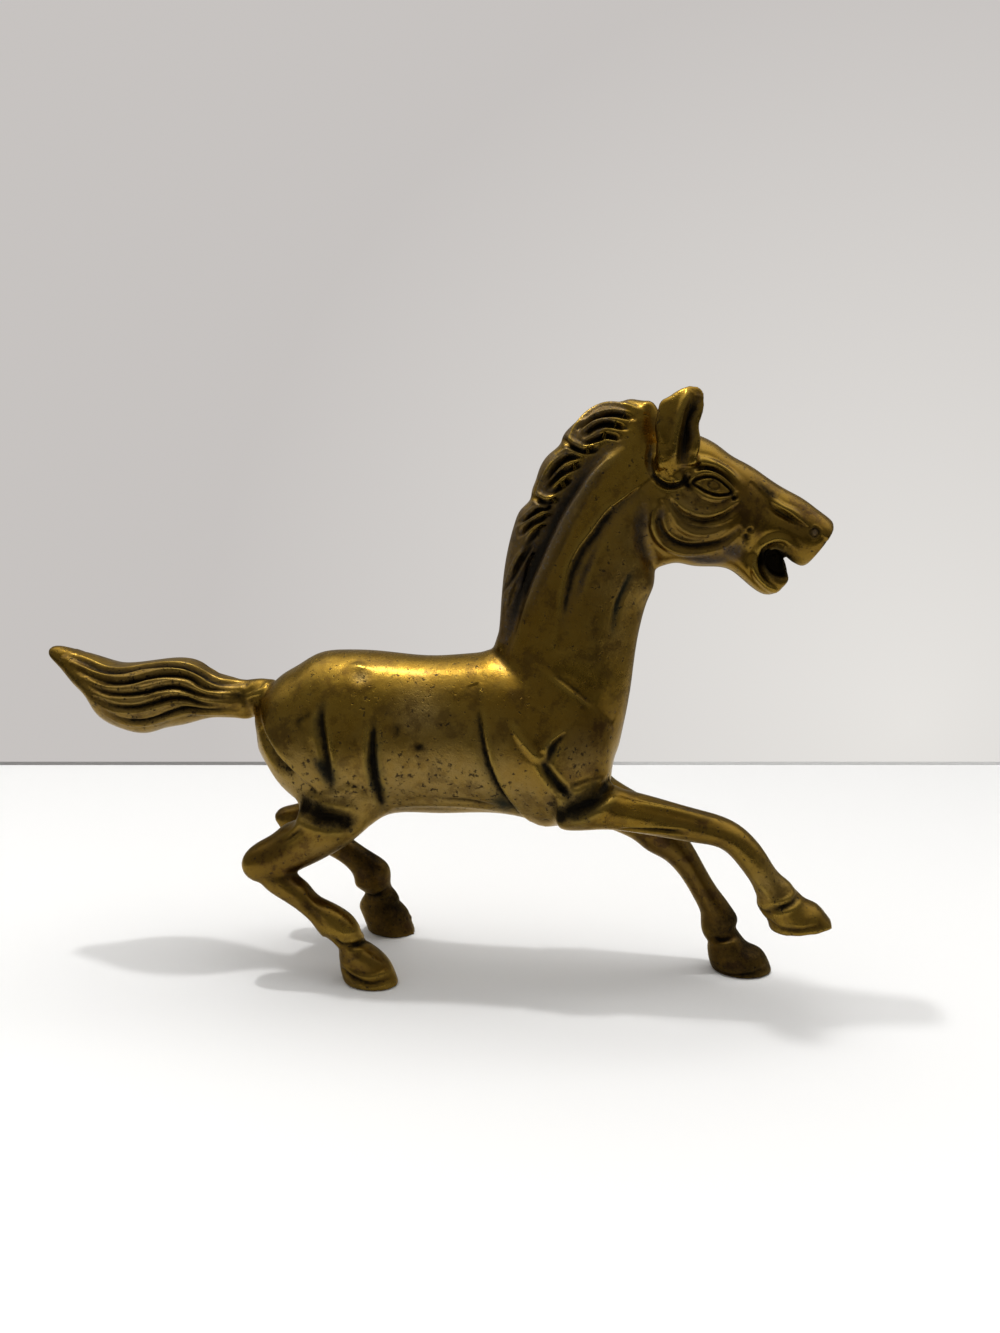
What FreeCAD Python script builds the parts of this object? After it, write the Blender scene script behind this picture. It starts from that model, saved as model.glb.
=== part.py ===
import FreeCAD, Part
import math
import os
from FreeCAD import Vector

# A galloping horse in brass, hollow-cast as two halves, with solid legs, tail, ears
# and mane that are pegged and brazed on. +X points to the head, +Y to the horse's
# left and +Z up. It stands on both hind hooves and the left front hoof; the origin is
# on the ground under the middle. Sizes are in millimetres.

doc = FreeCAD.newDocument("BrassHorse")
sheet = doc.addObject("Spreadsheet::Sheet", "Sizes")

SIZES = [
    # Hollow casting of trunk, neck and head
    ("trunk_rear_x", -56.7),
    ("trunk_base_z", 54.5),
    ("trunk_length", 121.5),
    ("trunk_depth", 53.0),
    ("trunk_width", 44.0),
    ("neck_foot_along_share", 0.823),
    ("neck_foot_rise_share", 0.557),
    ("neck_lean", 30.0),
    ("neck_height", 100.0),
    ("neck_depth", 42.0),
    ("neck_width", 34.0),
    ("head_back_along_share", 0.833),
    ("head_back_rise_share", 0.76),
    ("head_length", 58.0),
    ("head_drop", 12.0),
    ("head_depth", 38.5),
    ("head_width", 26.0),
    ("jaw_back_along_share", 0.275),
    ("jaw_back_drop_share", 0.337),
    ("jaw_length", 30.0),
    ("jaw_drop", 14.0),
    ("jaw_depth", 16.0),
    ("jaw_width", 20.0),
    ("shell_wall", 3.0),
    ("seam_width", 0.4),
    # Mane, as shares of the neck it sits on
    ("mane_foot_back_share", 0.333),
    ("mane_foot_rise_share", 0.23),
    ("mane_lean_share", 1.367),
    ("mane_height_share", 0.77),
    ("mane_depth", 12.0),
    ("mane_width", 20.0),
    # Ears, alike on both sides
    ("ear_foot_along_share", 0.215),
    ("ear_foot_side_share", 0.423),
    ("ear_foot_rise_share", 0.104),
    ("ear_height", 27.0),
    ("ear_length", 14.0),
    ("ear_thickness", 6.5),
    # Tail
    ("tail_root_along_share", 0.033),
    ("tail_root_rise_share", 0.689),
    ("tail_length", 79.0),
    ("tail_lift", 24.0),
    ("tail_depth", 24.0),
    ("tail_thickness", 28.0),
    # Hind legs, from the trunk to the ground
    ("hind_root_along_share", 0.288),
    ("leg_root_rise_share", 0.1415),
    ("hind_reach", 40.0),
    ("hind_depth", 26.0),
    ("hind_width", 18.0),
    ("hind_spread", 20.0),
    ("hind_left_toe_share", 0.35),
    ("hind_right_toe_share", 0.4125),
    # Right front leg, lifted
    ("front_root_along_share", 0.848),
    ("lifted_reach", 77.0),
    ("lifted_fall", 36.0),
    ("lifted_depth", 18.0),
    ("lifted_width", 18.0),
    ("lifted_spread", 17.0),
    ("lifted_toe_share", 1.106),
    ("lifted_sole_share", 0.995),
    ("lifted_sole_tilt", 8.0),
    # Left front leg, on the ground
    ("planted_reach", 62.0),
    ("planted_depth", 18.0),
    ("planted_width", 18.0),
    ("planted_spread", 10.0),
    ("planted_toe_share", 1.145),
    # Hooves
    ("hoof_length", 19.0),
    ("hoof_width", 16.0),
    ("hoof_height", 11.0),
    # Pegs, their places on what carries them, and their holes
    ("leg_peg_diameter", 9.0),
    ("leg_peg_length", 16.0),
    ("hind_peg_back_share", 0.05),
    ("hind_peg_side_share", 0.62),
    ("hind_peg_down_share", 0.525),
    ("hind_peg_turn", 0.0),
    ("lifted_peg_along_share", 0.29),
    ("lifted_peg_side_share", 0.72),
    ("lifted_peg_rise_share", 0.02),
    ("lifted_peg_turn", -90.0),
    ("planted_peg_along_share", 0.36),
    ("planted_peg_side_share", 1.2),
    ("planted_peg_down_share", 0.482),
    ("planted_peg_turn", -65.0),
    ("tail_peg_diameter", 6.0),
    ("tail_peg_length", 12.0),
    ("tail_peg_back_share", 0.10),
    ("tail_peg_turn", 90.0),
    ("ear_peg_diameter", 3.0),
    ("ear_peg_length", 6.0),
    ("ear_peg_inset", 1.0),
    ("ear_peg_rise_share", 0.45),
    ("ear_peg_turn", 180.0),
    ("peg_clearance", 0.15),
    # Brazing, and the boxes that part the two halves
    ("bead_size", 1.2),
    ("clip_reach", 300.0),
]
for row, (alias, value) in enumerate(SIZES, start=1):
    sheet.set("A%d" % row, alias)
    sheet.set("B%d" % row, str(value))
    sheet.setAlias("B%d" % row, alias)
doc.recompute()


def size(alias):
    return float(getattr(sheet, alias))


def point(name, carrier, along, rise, side="0"):
    """A point that carries a form. Its distances from another point are expressions."""
    vertex = doc.addObject("Part::Vertex", name)
    for axis, distance in [("X", along), ("Y", side), ("Z", rise)]:
        vertex.setExpression(axis, "%s.%s + 1 mm * %s" % (carrier.Name, axis, distance))
    vertex.recompute()
    return vertex


def place_of(vertex, side=1):
    return Vector(vertex.X.Value, side * vertex.Y.Value, vertex.Z.Value)


# Where each form is rooted on what carries it
trunk_corner = doc.addObject("Part::Vertex", "trunk_corner")
trunk_corner.setExpression("X", "Sizes.trunk_rear_x")
trunk_corner.setExpression("Z", "Sizes.trunk_base_z")
trunk_corner.recompute()
neck_foot = point("neck_foot", trunk_corner, "Sizes.neck_foot_along_share * Sizes.trunk_length",
                  "Sizes.neck_foot_rise_share * Sizes.trunk_depth")
tail_root = point("tail_root", trunk_corner, "Sizes.tail_root_along_share * Sizes.trunk_length",
                  "Sizes.tail_root_rise_share * Sizes.trunk_depth")
hind_root = point("hind_root", trunk_corner, "Sizes.hind_root_along_share * Sizes.trunk_length",
                  "Sizes.leg_root_rise_share * Sizes.trunk_depth")
front_root = point("front_root", trunk_corner, "Sizes.front_root_along_share * Sizes.trunk_length",
                   "Sizes.leg_root_rise_share * Sizes.trunk_depth")
head_back = point("head_back", neck_foot, "Sizes.head_back_along_share * Sizes.neck_lean",
                  "Sizes.head_back_rise_share * Sizes.neck_height")
mane_foot = point("mane_foot", neck_foot, "(-Sizes.mane_foot_back_share * Sizes.neck_depth)",
                  "Sizes.mane_foot_rise_share * Sizes.neck_height")
jaw_back = point("jaw_back", head_back, "Sizes.jaw_back_along_share * Sizes.head_length",
                 "(-Sizes.jaw_back_drop_share * Sizes.head_depth)")
ear_foot = point("ear_foot", head_back, "Sizes.ear_foot_along_share * Sizes.head_length",
                 "Sizes.ear_foot_rise_share * Sizes.head_depth",
                 "Sizes.ear_foot_side_share * Sizes.head_width")


# Every oval outline has this many points. Its start, as a share of a turn from its top,
# is where the form's long edge runs: on the left side of most forms, on the right side
# of the lower legs and beside the crest on the mane, so that no two edges meet.
OUTLINE_POINTS = 12
LEFT_START_SHARE = 0.25
RIGHT_START_SHARE = 0.75
MANE_START_SHARE = 0.125
LOFT_DEGREE = 3


def outline(centre, up, half_rise, half_width, start_share=LEFT_START_SHARE):
    """A smooth closed oval across a form, half_rise high along up and half_width in Y."""
    points = []
    for step in range(OUTLINE_POINTS):
        angle = 2 * math.pi * (step / OUTLINE_POINTS + start_share)
        rise = up * (half_rise * math.cos(angle))
        points.append(centre + rise + Vector(0, half_width * math.sin(angle), 0))
    curve = Part.BSplineCurve()
    curve.interpolate(Points=points, PeriodicFlag=True)
    return Part.Wire(curve.toShape())


def square_directions(centres):
    """For each centre, the direction in the side view that is square to their line."""
    directions = []
    for index in range(len(centres)):
        before = centres[max(index - 1, 0)]
        after = centres[min(index + 1, len(centres) - 1)]
        along = after - before
        directions.append(Vector(-along.z, 0, along.x).normalize())
    return directions


def lofted(outlines):
    return Part.makeLoft(outlines, True, False, False, LOFT_DEGREE)


def oval_form(stations, root, reach, drop, depth, width, spread=0.0, swell=0.0, up=None,
              start_share=LEFT_START_SHARE):
    """A form lofted through ovals.

    A station gives its place along reach and drop from the root, its half depth, its
    half width and, on a paired form, its place sideways, each as a share of its size.
    A swell makes the form fatter all round, or thinner below zero. With up given, the
    ovals all face one way.
    """
    centres = []
    for station in stations:
        side = station[4] * spread if spread else 0.0
        centres.append(root + Vector(station[0] * reach, side, station[1] * drop))
    ups = [up] * len(stations) if up else square_directions(centres)
    outlines = []
    for station, centre, direction in zip(stations, centres, ups):
        outlines.append(outline(centre, direction, station[2] * depth + swell,
                                station[3] * width + swell, start_share))
    return lofted(outlines)


# Trunk, from the rump to the chest
TRUNK_SHARES = [
    (0.00, 0.52, 0.12, 0.14),
    (0.02, 0.525, 0.225, 0.24),
    (0.06, 0.50, 0.33, 0.35),
    (0.10, 0.48, 0.41, 0.42),
    (0.16, 0.46, 0.49, 0.48),
    (0.23, 0.455, 0.55, 0.51),
    (0.31, 0.475, 0.545, 0.51),
    (0.38, 0.495, 0.515, 0.49),
    (0.48, 0.50, 0.495, 0.47),
    (0.60, 0.515, 0.50, 0.47),
    (0.70, 0.52, 0.51, 0.49),
    (0.80, 0.505, 0.54, 0.51),
    (0.88, 0.495, 0.515, 0.48),
    (0.94, 0.50, 0.46, 0.39),
    (0.98, 0.575, 0.315, 0.25),
    (1.00, 0.60, 0.17, 0.14),
]


def trunk_form(swell):
    root = place_of(trunk_corner) - Vector(swell, 0, 0)
    return oval_form(TRUNK_SHARES, root, size("trunk_length") + 2 * swell, size("trunk_depth"),
                     size("trunk_depth"), size("trunk_width"), swell=swell, up=Vector(0, 0, 1))


# Neck, from inside the chest to the poll
NECK_SHARES = [
    (0.00, 0.00, 0.48, 0.56),
    (0.12, 0.14, 0.50, 0.54),
    (0.17, 0.27, 0.50, 0.49),
    (0.24, 0.40, 0.50, 0.44),
    (0.32, 0.52, 0.51, 0.41),
    (0.42, 0.64, 0.50, 0.38),
    (0.55, 0.76, 0.45, 0.36),
    (0.72, 0.86, 0.35, 0.32),
    (0.88, 0.95, 0.25, 0.26),
    (1.02, 1.00, 0.15, 0.20),
]


def neck_form(swell, stations=NECK_SHARES):
    return oval_form(stations, place_of(neck_foot), size("neck_lean"), size("neck_height"),
                     size("neck_depth"), size("neck_width"), swell=swell)


# Head, from inside the top of the neck to the muzzle
HEAD_SHARES = [
    (0.00, 0.00, 0.38, 0.38),
    (0.13, -0.04, 0.50, 0.48),
    (0.28, 0.07, 0.50, 0.51),
    (0.43, 0.31, 0.45, 0.48),
    (0.57, 0.53, 0.375, 0.42),
    (0.70, 0.70, 0.30, 0.37),
    (0.83, 0.89, 0.26, 0.34),
    (0.95, 1.04, 0.21, 0.32),
    (1.01, 1.06, 0.14, 0.23),
]


def head_form(swell, stations=HEAD_SHARES):
    up = Vector(size("head_drop"), 0, size("head_length")).normalize()
    return oval_form(stations, place_of(head_back), size("head_length"), -size("head_drop"),
                     size("head_depth"), size("head_width"), swell=swell, up=up)


# Lower jaw, from the cheek to the lip, open below the muzzle
JAW_SHARES = [
    (-0.15, -0.10, 0.60, 0.44),
    (0.00, 0.00, 0.51, 0.47),
    (0.27, 0.17, 0.43, 0.47),
    (0.50, 0.42, 0.34, 0.43),
    (0.72, 0.77, 0.29, 0.39),
    (0.90, 0.99, 0.23, 0.34),
    (1.00, 0.99, 0.14, 0.23),
]


def jaw_form():
    up = Vector(size("jaw_drop"), 0, size("jaw_length")).normalize()
    return oval_form(JAW_SHARES, place_of(jaw_back), size("jaw_length"), -size("jaw_drop"),
                     size("jaw_depth"), size("jaw_width"), up=up)


# Mane, a saddle over the crest from the withers to the poll
MANE_SHARES = [
    (0.00, 0.00, 0.16, 0.22),
    (0.00, 0.13, 0.30, 0.36),
    (0.045, 0.30, 0.38, 0.42),
    (0.12, 0.48, 0.45, 0.45),
    (0.235, 0.64, 0.50, 0.46),
    (0.38, 0.78, 0.52, 0.46),
    (0.56, 0.90, 0.50, 0.42),
    (0.76, 0.98, 0.42, 0.36),
    (0.93, 1.00, 0.27, 0.26),
    (1.00, 0.98, 0.12, 0.14),
]


def mane_form(swell):
    lean = size("mane_lean_share") * size("neck_lean")
    height = size("mane_height_share") * size("neck_height")
    return oval_form(MANE_SHARES, place_of(mane_foot), lean, height, size("mane_depth"),
                     size("mane_width"), swell=swell, start_share=MANE_START_SHARE)


# Ear, from the cheek to its tip
EAR_SHARES = [
    (-0.02, 0.00, 0.22, 0.26, 0.00),
    (-0.06, 0.14, 0.38, 0.42, 0.04),
    (-0.04, 0.33, 0.47, 0.50, 0.10),
    (0.03, 0.55, 0.50, 0.49, 0.14),
    (0.12, 0.74, 0.47, 0.42, 0.16),
    (0.26, 0.88, 0.33, 0.30, 0.15),
    (0.40, 0.97, 0.17, 0.17, 0.12),
    (0.45, 1.00, 0.07, 0.08, 0.10),
]


def ear_form(side, swell):
    return oval_form(EAR_SHARES, place_of(ear_foot, side), size("ear_length"), size("ear_height"),
                     size("ear_length"), size("ear_thickness"), side * size("ear_height"), swell)


# Tail, a broad flame that streams back from the rump and lifts at its tip
TAIL_SHARES = [
    (0.00, 0.00, 0.25, 0.18),
    (0.09, 0.01, 0.25, 0.18),
    (0.19, 0.02, 0.30, 0.25),
    (0.30, 0.08, 0.40, 0.36),
    (0.42, 0.07, 0.48, 0.46),
    (0.53, 0.02, 0.48, 0.50),
    (0.63, 0.00, 0.48, 0.48),
    (0.73, 0.09, 0.41, 0.41),
    (0.82, 0.29, 0.30, 0.30),
    (0.90, 0.47, 0.18, 0.19),
    (0.96, 0.59, 0.10, 0.11),
    (0.99, 0.64, 0.04, 0.045),
]


def tail_form(swell):
    return oval_form(TAIL_SHARES, place_of(tail_root), -size("tail_length"), size("tail_lift"),
                     size("tail_depth"), size("tail_thickness"), swell=swell)


# Hind leg: the thigh from inside the rump to the hock, and the cannon from the hock to
# the pastern, which is held a little further forward on the left
THIGH_SHARES = [
    (-0.10, -0.08, 0.46, 0.47, 0.60),
    (0.08, 0.06, 0.44, 0.48, 0.66),
    (0.30, 0.18, 0.38, 0.46, 0.75),
    (0.49, 0.275, 0.32, 0.40, 0.82),
    (0.66, 0.34, 0.29, 0.36, 0.88),
    (0.78, 0.38, 0.23, 0.29, 0.90),
    (0.85, 0.40, 0.11, 0.15, 0.90),
]
RIGHT_CANNON_SHARES = [
    (0.77, 0.355, 0.08, 0.12, 0.90),
    (0.69, 0.385, 0.18, 0.24, 0.90),
    (0.57, 0.45, 0.21, 0.28, 0.91),
    (0.435, 0.51, 0.18, 0.28, 0.93),
    (0.245, 0.60, 0.17, 0.27, 0.96),
    (0.08, 0.68, 0.21, 0.29, 0.98),
    (0.00, 0.76, 0.19, 0.28, 1.00),
    (-0.05, 0.85, 0.13, 0.18, 1.00),
]
LEFT_CANNON_SHARES = [
    (0.77, 0.355, 0.08, 0.12, 0.90),
    (0.68, 0.37, 0.17, 0.24, 0.90),
    (0.53, 0.405, 0.20, 0.28, 0.91),
    (0.36, 0.46, 0.18, 0.28, 0.93),
    (0.21, 0.53, 0.18, 0.27, 0.96),
    (0.08, 0.61, 0.21, 0.29, 0.98),
    (0.00, 0.70, 0.19, 0.28, 1.00),
    (-0.03, 0.77, 0.18, 0.28, 1.00),
    (-0.05, 0.86, 0.13, 0.18, 1.00),
]


def hind_form(stations, side, swell, start_share=LEFT_START_SHARE):
    root = place_of(hind_root)
    return oval_form(stations, root, -size("hind_reach"), -root.z, size("hind_depth"),
                     size("hind_width"), side * size("hind_spread"), swell, start_share=start_share)


# Right front leg, thrown forward with the cannon hanging from the knee
LIFTED_SHARES = [
    (0.00, -0.03, 0.50, 0.50, 0.70),
    (0.13, -0.02, 0.46, 0.47, 0.75),
    (0.26, 0.00, 0.36, 0.42, 0.85),
    (0.42, 0.05, 0.32, 0.36, 0.92),
    (0.57, 0.11, 0.29, 0.33, 0.95),
    (0.69, 0.19, 0.28, 0.33, 0.97),
    (0.77, 0.33, 0.26, 0.31, 1.00),
    (0.825, 0.49, 0.24, 0.28, 1.00),
    (0.88, 0.63, 0.27, 0.29, 1.00),
    (0.92, 0.75, 0.19, 0.19, 1.00),
]


def lifted_form(swell):
    return oval_form(LIFTED_SHARES, place_of(front_root), size("lifted_reach"), -size("lifted_fall"),
                     size("lifted_depth"), size("lifted_width"), -size("lifted_spread"), swell,
                     start_share=RIGHT_START_SHARE)


# Left front leg, reaching down to the ground
PLANTED_SHARES = [
    (0.03, 0.00, 0.53, 0.50, 1.20),
    (0.19, 0.07, 0.47, 0.44, 1.20),
    (0.38, 0.165, 0.41, 0.39, 1.20),
    (0.53, 0.26, 0.345, 0.34, 1.20),
    (0.625, 0.35, 0.29, 0.33, 1.15),
    (0.70, 0.45, 0.245, 0.29, 1.10),
    (0.78, 0.58, 0.24, 0.28, 1.05),
    (0.84, 0.67, 0.27, 0.29, 1.00),
    (0.86, 0.75, 0.28, 0.29, 1.00),
    (0.89, 0.84, 0.19, 0.19, 1.00),
]


def planted_form(swell):
    root = place_of(front_root)
    return oval_form(PLANTED_SHARES, root, size("planted_reach"), -root.z, size("planted_depth"),
                     size("planted_width"), size("planted_spread"), swell,
                     start_share=RIGHT_START_SHARE)


# Hoof, from inside the pastern to the flat sole: height over the sole, then how far the
# middle lies behind that of the sole, half length and half width
HOOF_SHARES = [
    (1.40, 0.34, 0.13, 0.15),
    (1.15, 0.28, 0.27, 0.33),
    (0.82, 0.17, 0.42, 0.43),
    (0.45, 0.09, 0.49, 0.48),
    (0.00, 0.00, 0.50, 0.50),
]


def hoof_form(toe_x, side_y, sole_z, tilt):
    """A hoof with its toe at toe_x, tilted toe-up about its heel by tilt degrees."""
    heel = Vector(toe_x - size("hoof_length"), side_y, sole_z)
    middle = heel + Vector(size("hoof_length") / 2, 0, 0)
    outlines = []
    for height, back, half_length, half_width in HOOF_SHARES:
        centre = middle + Vector(-back * size("hoof_length"), 0, height * size("hoof_height"))
        outlines.append(outline(centre, Vector(1, 0, 0), half_length * size("hoof_length"),
                                half_width * size("hoof_width")))
    hoof = lofted(outlines)
    hoof.rotate(heel, Vector(0, 1, 0), -tilt)
    return hoof


def keep(name, shape):
    """A form held in the document under a name."""
    feature = doc.addObject("Part::Feature", name)
    feature.Shape = shape
    return feature


def cut(name, base, tool):
    feature = doc.addObject("Part::Cut", name)
    feature.Base = base
    feature.Tool = tool
    feature.Refine = False
    return feature


def join(name, shapes):
    feature = doc.addObject("Part::MultiFuse", name)
    feature.Shapes = shapes
    feature.Refine = False
    return feature


def common(name, shapes):
    feature = doc.addObject("Part::MultiCommon", name)
    feature.Shapes = shapes
    feature.Refine = False
    return feature


def round_bar(name, kind, root, place, fit=""):
    """A peg of one kind, or with a fit added the hole for it, near the root of its form.

    The place gives its distances from the root along X, Y and Z as expressions, and the
    size that turns it about Y."""
    bar = doc.addObject("Part::Cylinder", name)
    bar.setExpression("Radius", "Sizes.%s_peg_diameter / 2%s" % (kind, fit))
    bar.setExpression("Height", "Sizes.%s_peg_length%s" % (kind, fit))
    bar.Placement.Rotation = FreeCAD.Rotation(Vector(0, 1, 0), size(place[3]))
    for axis, distance in zip("xyz", place):
        along = "%s.%s + 1 mm * %s" % (root.Name, axis.upper(), distance)
        bar.setExpression("Placement.Base." + axis, along)
    return bar


def band_box(name, low_y, width):
    """A box that holds one band of the horse's width."""
    box = doc.addObject("Part::Box", name)
    box.setExpression("Length", "2 * Sizes.clip_reach")
    box.setExpression("Width", width)
    box.setExpression("Height", "2 * Sizes.clip_reach")
    box.setExpression("Placement.Base.x", "-Sizes.clip_reach")
    box.setExpression("Placement.Base.y", low_y)
    box.setExpression("Placement.Base.z", "-Sizes.clip_reach")
    return box


pieces = {}
peg_holes = []


def add_piece(name, feature):
    feature.Label = name
    pieces[name] = feature


def seat_piece(name, whole, kind=None, root=None, place=None):
    """A casting whose root is cut to the body's outside, with its peg and the peg's hole."""
    seated = cut(name + "_seated", keep(name + "_whole", whole), body_outside)
    if place is None:
        add_piece(name, seated)
        return
    peg = round_bar(name + "_peg", kind, root, place)
    peg_holes.append(round_bar(name + "_hole", kind, root, place, " + Sizes.peg_clearance"))
    add_piece(name, join(name + "_pegged", [seated, peg]))


def add_bead(name, root_form, swollen_root, swollen_body):
    """The braze in the corner between a casting's root and the body."""
    corner = common(name + "_corner", [keep(name + "_swollen", swollen_root), swollen_body])
    outside_root = cut(name + "_off_root", corner, keep(name + "_root", root_form))
    add_piece(name, cut(name + "_off_body", outside_root, body_outside))


# The hollow body: its outside, its inside, and the outside swollen for the beads. The
# hollow stops short of the closed ends of the neck and the head.
wall = size("shell_wall")
bead = size("bead_size")
body_outside = join("body_outside", [keep("trunk_outside", trunk_form(0.0)),
                                     keep("neck_outside", neck_form(0.0)),
                                     keep("head_outside", head_form(0.0)),
                                     keep("jaw_outside", jaw_form())])
body_inside = join("body_inside", [keep("trunk_inside", trunk_form(-wall)),
                                   keep("neck_inside", neck_form(-wall, NECK_SHARES[:-2])),
                                   keep("head_inside", head_form(-wall, HEAD_SHARES[:-2]))])
trunk_swollen = keep("trunk_swollen", trunk_form(bead))
neck_swollen = keep("neck_swollen", neck_form(bead))
head_swollen = keep("head_swollen", head_form(bead))

# Hind legs, their roots brazed under the rump
for word, side, sign, cannon_stations in [("left", 1, "", LEFT_CANNON_SHARES),
                                          ("right", -1, "-", RIGHT_CANNON_SHARES)]:
    thigh = hind_form(THIGH_SHARES, side, 0.0)
    toe_x = hind_root.X.Value + size("hind_%s_toe_share" % word) * size("hind_reach")
    hoof = hoof_form(toe_x, side * size("hind_spread"), 0.0, 0.0)
    leg = thigh.multiFuse([hind_form(cannon_stations, side, 0.0, RIGHT_START_SHARE), hoof])
    place = ["(-Sizes.hind_peg_back_share * Sizes.hind_reach)",
             "(%s Sizes.hind_peg_side_share * Sizes.hind_spread)" % sign,
             "(-Sizes.hind_peg_down_share * Sizes.hind_depth)", "hind_peg_turn"]
    seat_piece("hind_%s_leg" % word, leg, "leg", hind_root, place)
    add_bead("hind_%s_braze" % word, thigh, hind_form(THIGH_SHARES, side, bead), trunk_swollen)

# Right front leg
toe_x = front_root.X.Value + size("lifted_toe_share") * size("lifted_reach")
sole_z = front_root.Z.Value - size("lifted_sole_share") * size("lifted_fall")
hoof = hoof_form(toe_x, -size("lifted_spread"), sole_z, size("lifted_sole_tilt"))
place = ["Sizes.lifted_peg_along_share * Sizes.lifted_reach",
         "(-Sizes.lifted_peg_side_share * Sizes.lifted_spread)",
         "Sizes.lifted_peg_rise_share * Sizes.lifted_fall", "lifted_peg_turn"]
seat_piece("front_right_leg", lifted_form(0.0).fuse(hoof), "leg", front_root, place)
add_bead("front_right_braze", lifted_form(0.0), lifted_form(bead), trunk_swollen)

# Left front leg
toe_x = front_root.X.Value + size("planted_toe_share") * size("planted_reach")
hoof = hoof_form(toe_x, size("planted_spread"), 0.0, 0.0)
place = ["Sizes.planted_peg_along_share * Sizes.planted_reach",
         "Sizes.planted_peg_side_share * Sizes.planted_spread",
         "(-Sizes.planted_peg_down_share * Sizes.planted_depth)", "planted_peg_turn"]
seat_piece("front_left_leg", planted_form(0.0).fuse(hoof), "leg", front_root, place)
add_bead("front_left_braze", planted_form(0.0), planted_form(bead), trunk_swollen)

# Tail
place = ["(-Sizes.tail_peg_back_share * Sizes.tail_length)", "0", "0", "tail_peg_turn"]
seat_piece("tail", tail_form(0.0), "tail", tail_root, place)
add_bead("tail_braze", tail_form(0.0), tail_form(bead), trunk_swollen)

# Mane, held by its braze alone
seat_piece("mane", mane_form(0.0))
add_bead("mane_braze", mane_form(0.0), mane_form(bead), neck_swollen)

# Ears
for word, side in [("left", 1), ("right", -1)]:
    foot = ear_foot
    if side < 0:
        across = "(-2 * Sizes.ear_foot_side_share * Sizes.head_width)"
        foot = point("right_ear_foot", ear_foot, "0", "0", across)
    place = ["0", "(%d * Sizes.ear_peg_inset)" % -side, "Sizes.ear_peg_rise_share * Sizes.ear_height",
             "ear_peg_turn"]
    seat_piece(word + "_ear", ear_form(side, 0.0), "ear", foot, place)
    add_bead(word + "_ear_braze", ear_form(side, 0.0), ear_form(side, bead), head_swollen)

# Two half shells with the peg holes through them, and the brazed seam between
shell = cut("shell", cut("shell_undrilled", body_outside, body_inside), join("peg_holes", peg_holes))
right_low_y = "-Sizes.clip_reach - Sizes.seam_width / 2"
for name, low_y, width in [("left_half_shell", "Sizes.seam_width / 2", "Sizes.clip_reach"),
                           ("right_half_shell", right_low_y, "Sizes.clip_reach"),
                           ("seam_braze", "-Sizes.seam_width / 2", "Sizes.seam_width")]:
    add_piece(name, common(name + "_shape", [shell, band_box(name + "_band", low_y, width)]))

doc.recompute()
faults = [item.Name for item in doc.Objects if "Invalid" in item.State or "Error" in item.State]
faults += [name for name, piece in pieces.items() if piece.Shape.isNull() or not piece.Shape.isValid()]
if faults:
    raise RuntimeError("These did not build: " + ", ".join(faults))

os.makedirs("parts", exist_ok=True)
for name, piece in pieces.items():
    piece.Shape.exportStep("parts/%s.step" % name)
    print("%-18s %d solid, %8.0f mm3" % (name, len(piece.Shape.Solids), piece.Shape.Volume))
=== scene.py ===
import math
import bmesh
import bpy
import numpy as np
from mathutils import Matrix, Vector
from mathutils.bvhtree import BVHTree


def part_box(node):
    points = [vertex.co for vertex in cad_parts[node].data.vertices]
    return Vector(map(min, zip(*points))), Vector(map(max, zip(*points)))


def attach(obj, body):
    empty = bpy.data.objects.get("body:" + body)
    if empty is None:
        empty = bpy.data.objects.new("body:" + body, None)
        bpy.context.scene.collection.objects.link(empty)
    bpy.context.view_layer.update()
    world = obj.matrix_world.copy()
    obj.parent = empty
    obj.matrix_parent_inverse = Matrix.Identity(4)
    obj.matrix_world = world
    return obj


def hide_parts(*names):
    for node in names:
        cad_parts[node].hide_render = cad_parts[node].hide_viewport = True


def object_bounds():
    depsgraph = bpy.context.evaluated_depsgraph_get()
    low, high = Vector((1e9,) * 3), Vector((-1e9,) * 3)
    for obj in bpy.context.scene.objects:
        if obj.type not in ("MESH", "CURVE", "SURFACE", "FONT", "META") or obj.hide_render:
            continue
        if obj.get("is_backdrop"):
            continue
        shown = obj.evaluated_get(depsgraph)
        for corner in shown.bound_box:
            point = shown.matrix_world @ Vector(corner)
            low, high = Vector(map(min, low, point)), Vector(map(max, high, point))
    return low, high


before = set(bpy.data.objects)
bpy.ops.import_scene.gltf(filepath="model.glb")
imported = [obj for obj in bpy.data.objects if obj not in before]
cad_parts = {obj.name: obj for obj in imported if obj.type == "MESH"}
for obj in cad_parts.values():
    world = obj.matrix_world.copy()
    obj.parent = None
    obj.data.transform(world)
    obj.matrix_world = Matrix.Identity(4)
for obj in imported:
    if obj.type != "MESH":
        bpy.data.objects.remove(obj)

# %% [markdown]
# # A galloping horse in aged brass
# The real ornament is sand cast in several pieces that are pegged and brazed together, filed and
# polished, and then left to darken for years. The CAD model already holds its pieces at their true
# sizes. This lesson joins copies of them into one lump of modelling clay, works muscles, mane, tail
# and face into it with brush strokes, cuts it apart again along the same joints, and gives it a
# worn brass finish.

MM = 0.001
cad_low, cad_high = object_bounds()
print("CAD box in mm:", [round(v / MM, 1) for v in (*cad_low, *cad_high)])

# %% [markdown]
# ## The camera
# A stroke that is seen in the photograph has to land on the same spot of the model, so the camera
# comes first. It stands where the photographer's did: eight degrees round from the horse's right
# side, ten degrees above it, about a third of a metre away. The lens follows from the photograph's
# focal length in pixels.

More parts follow.
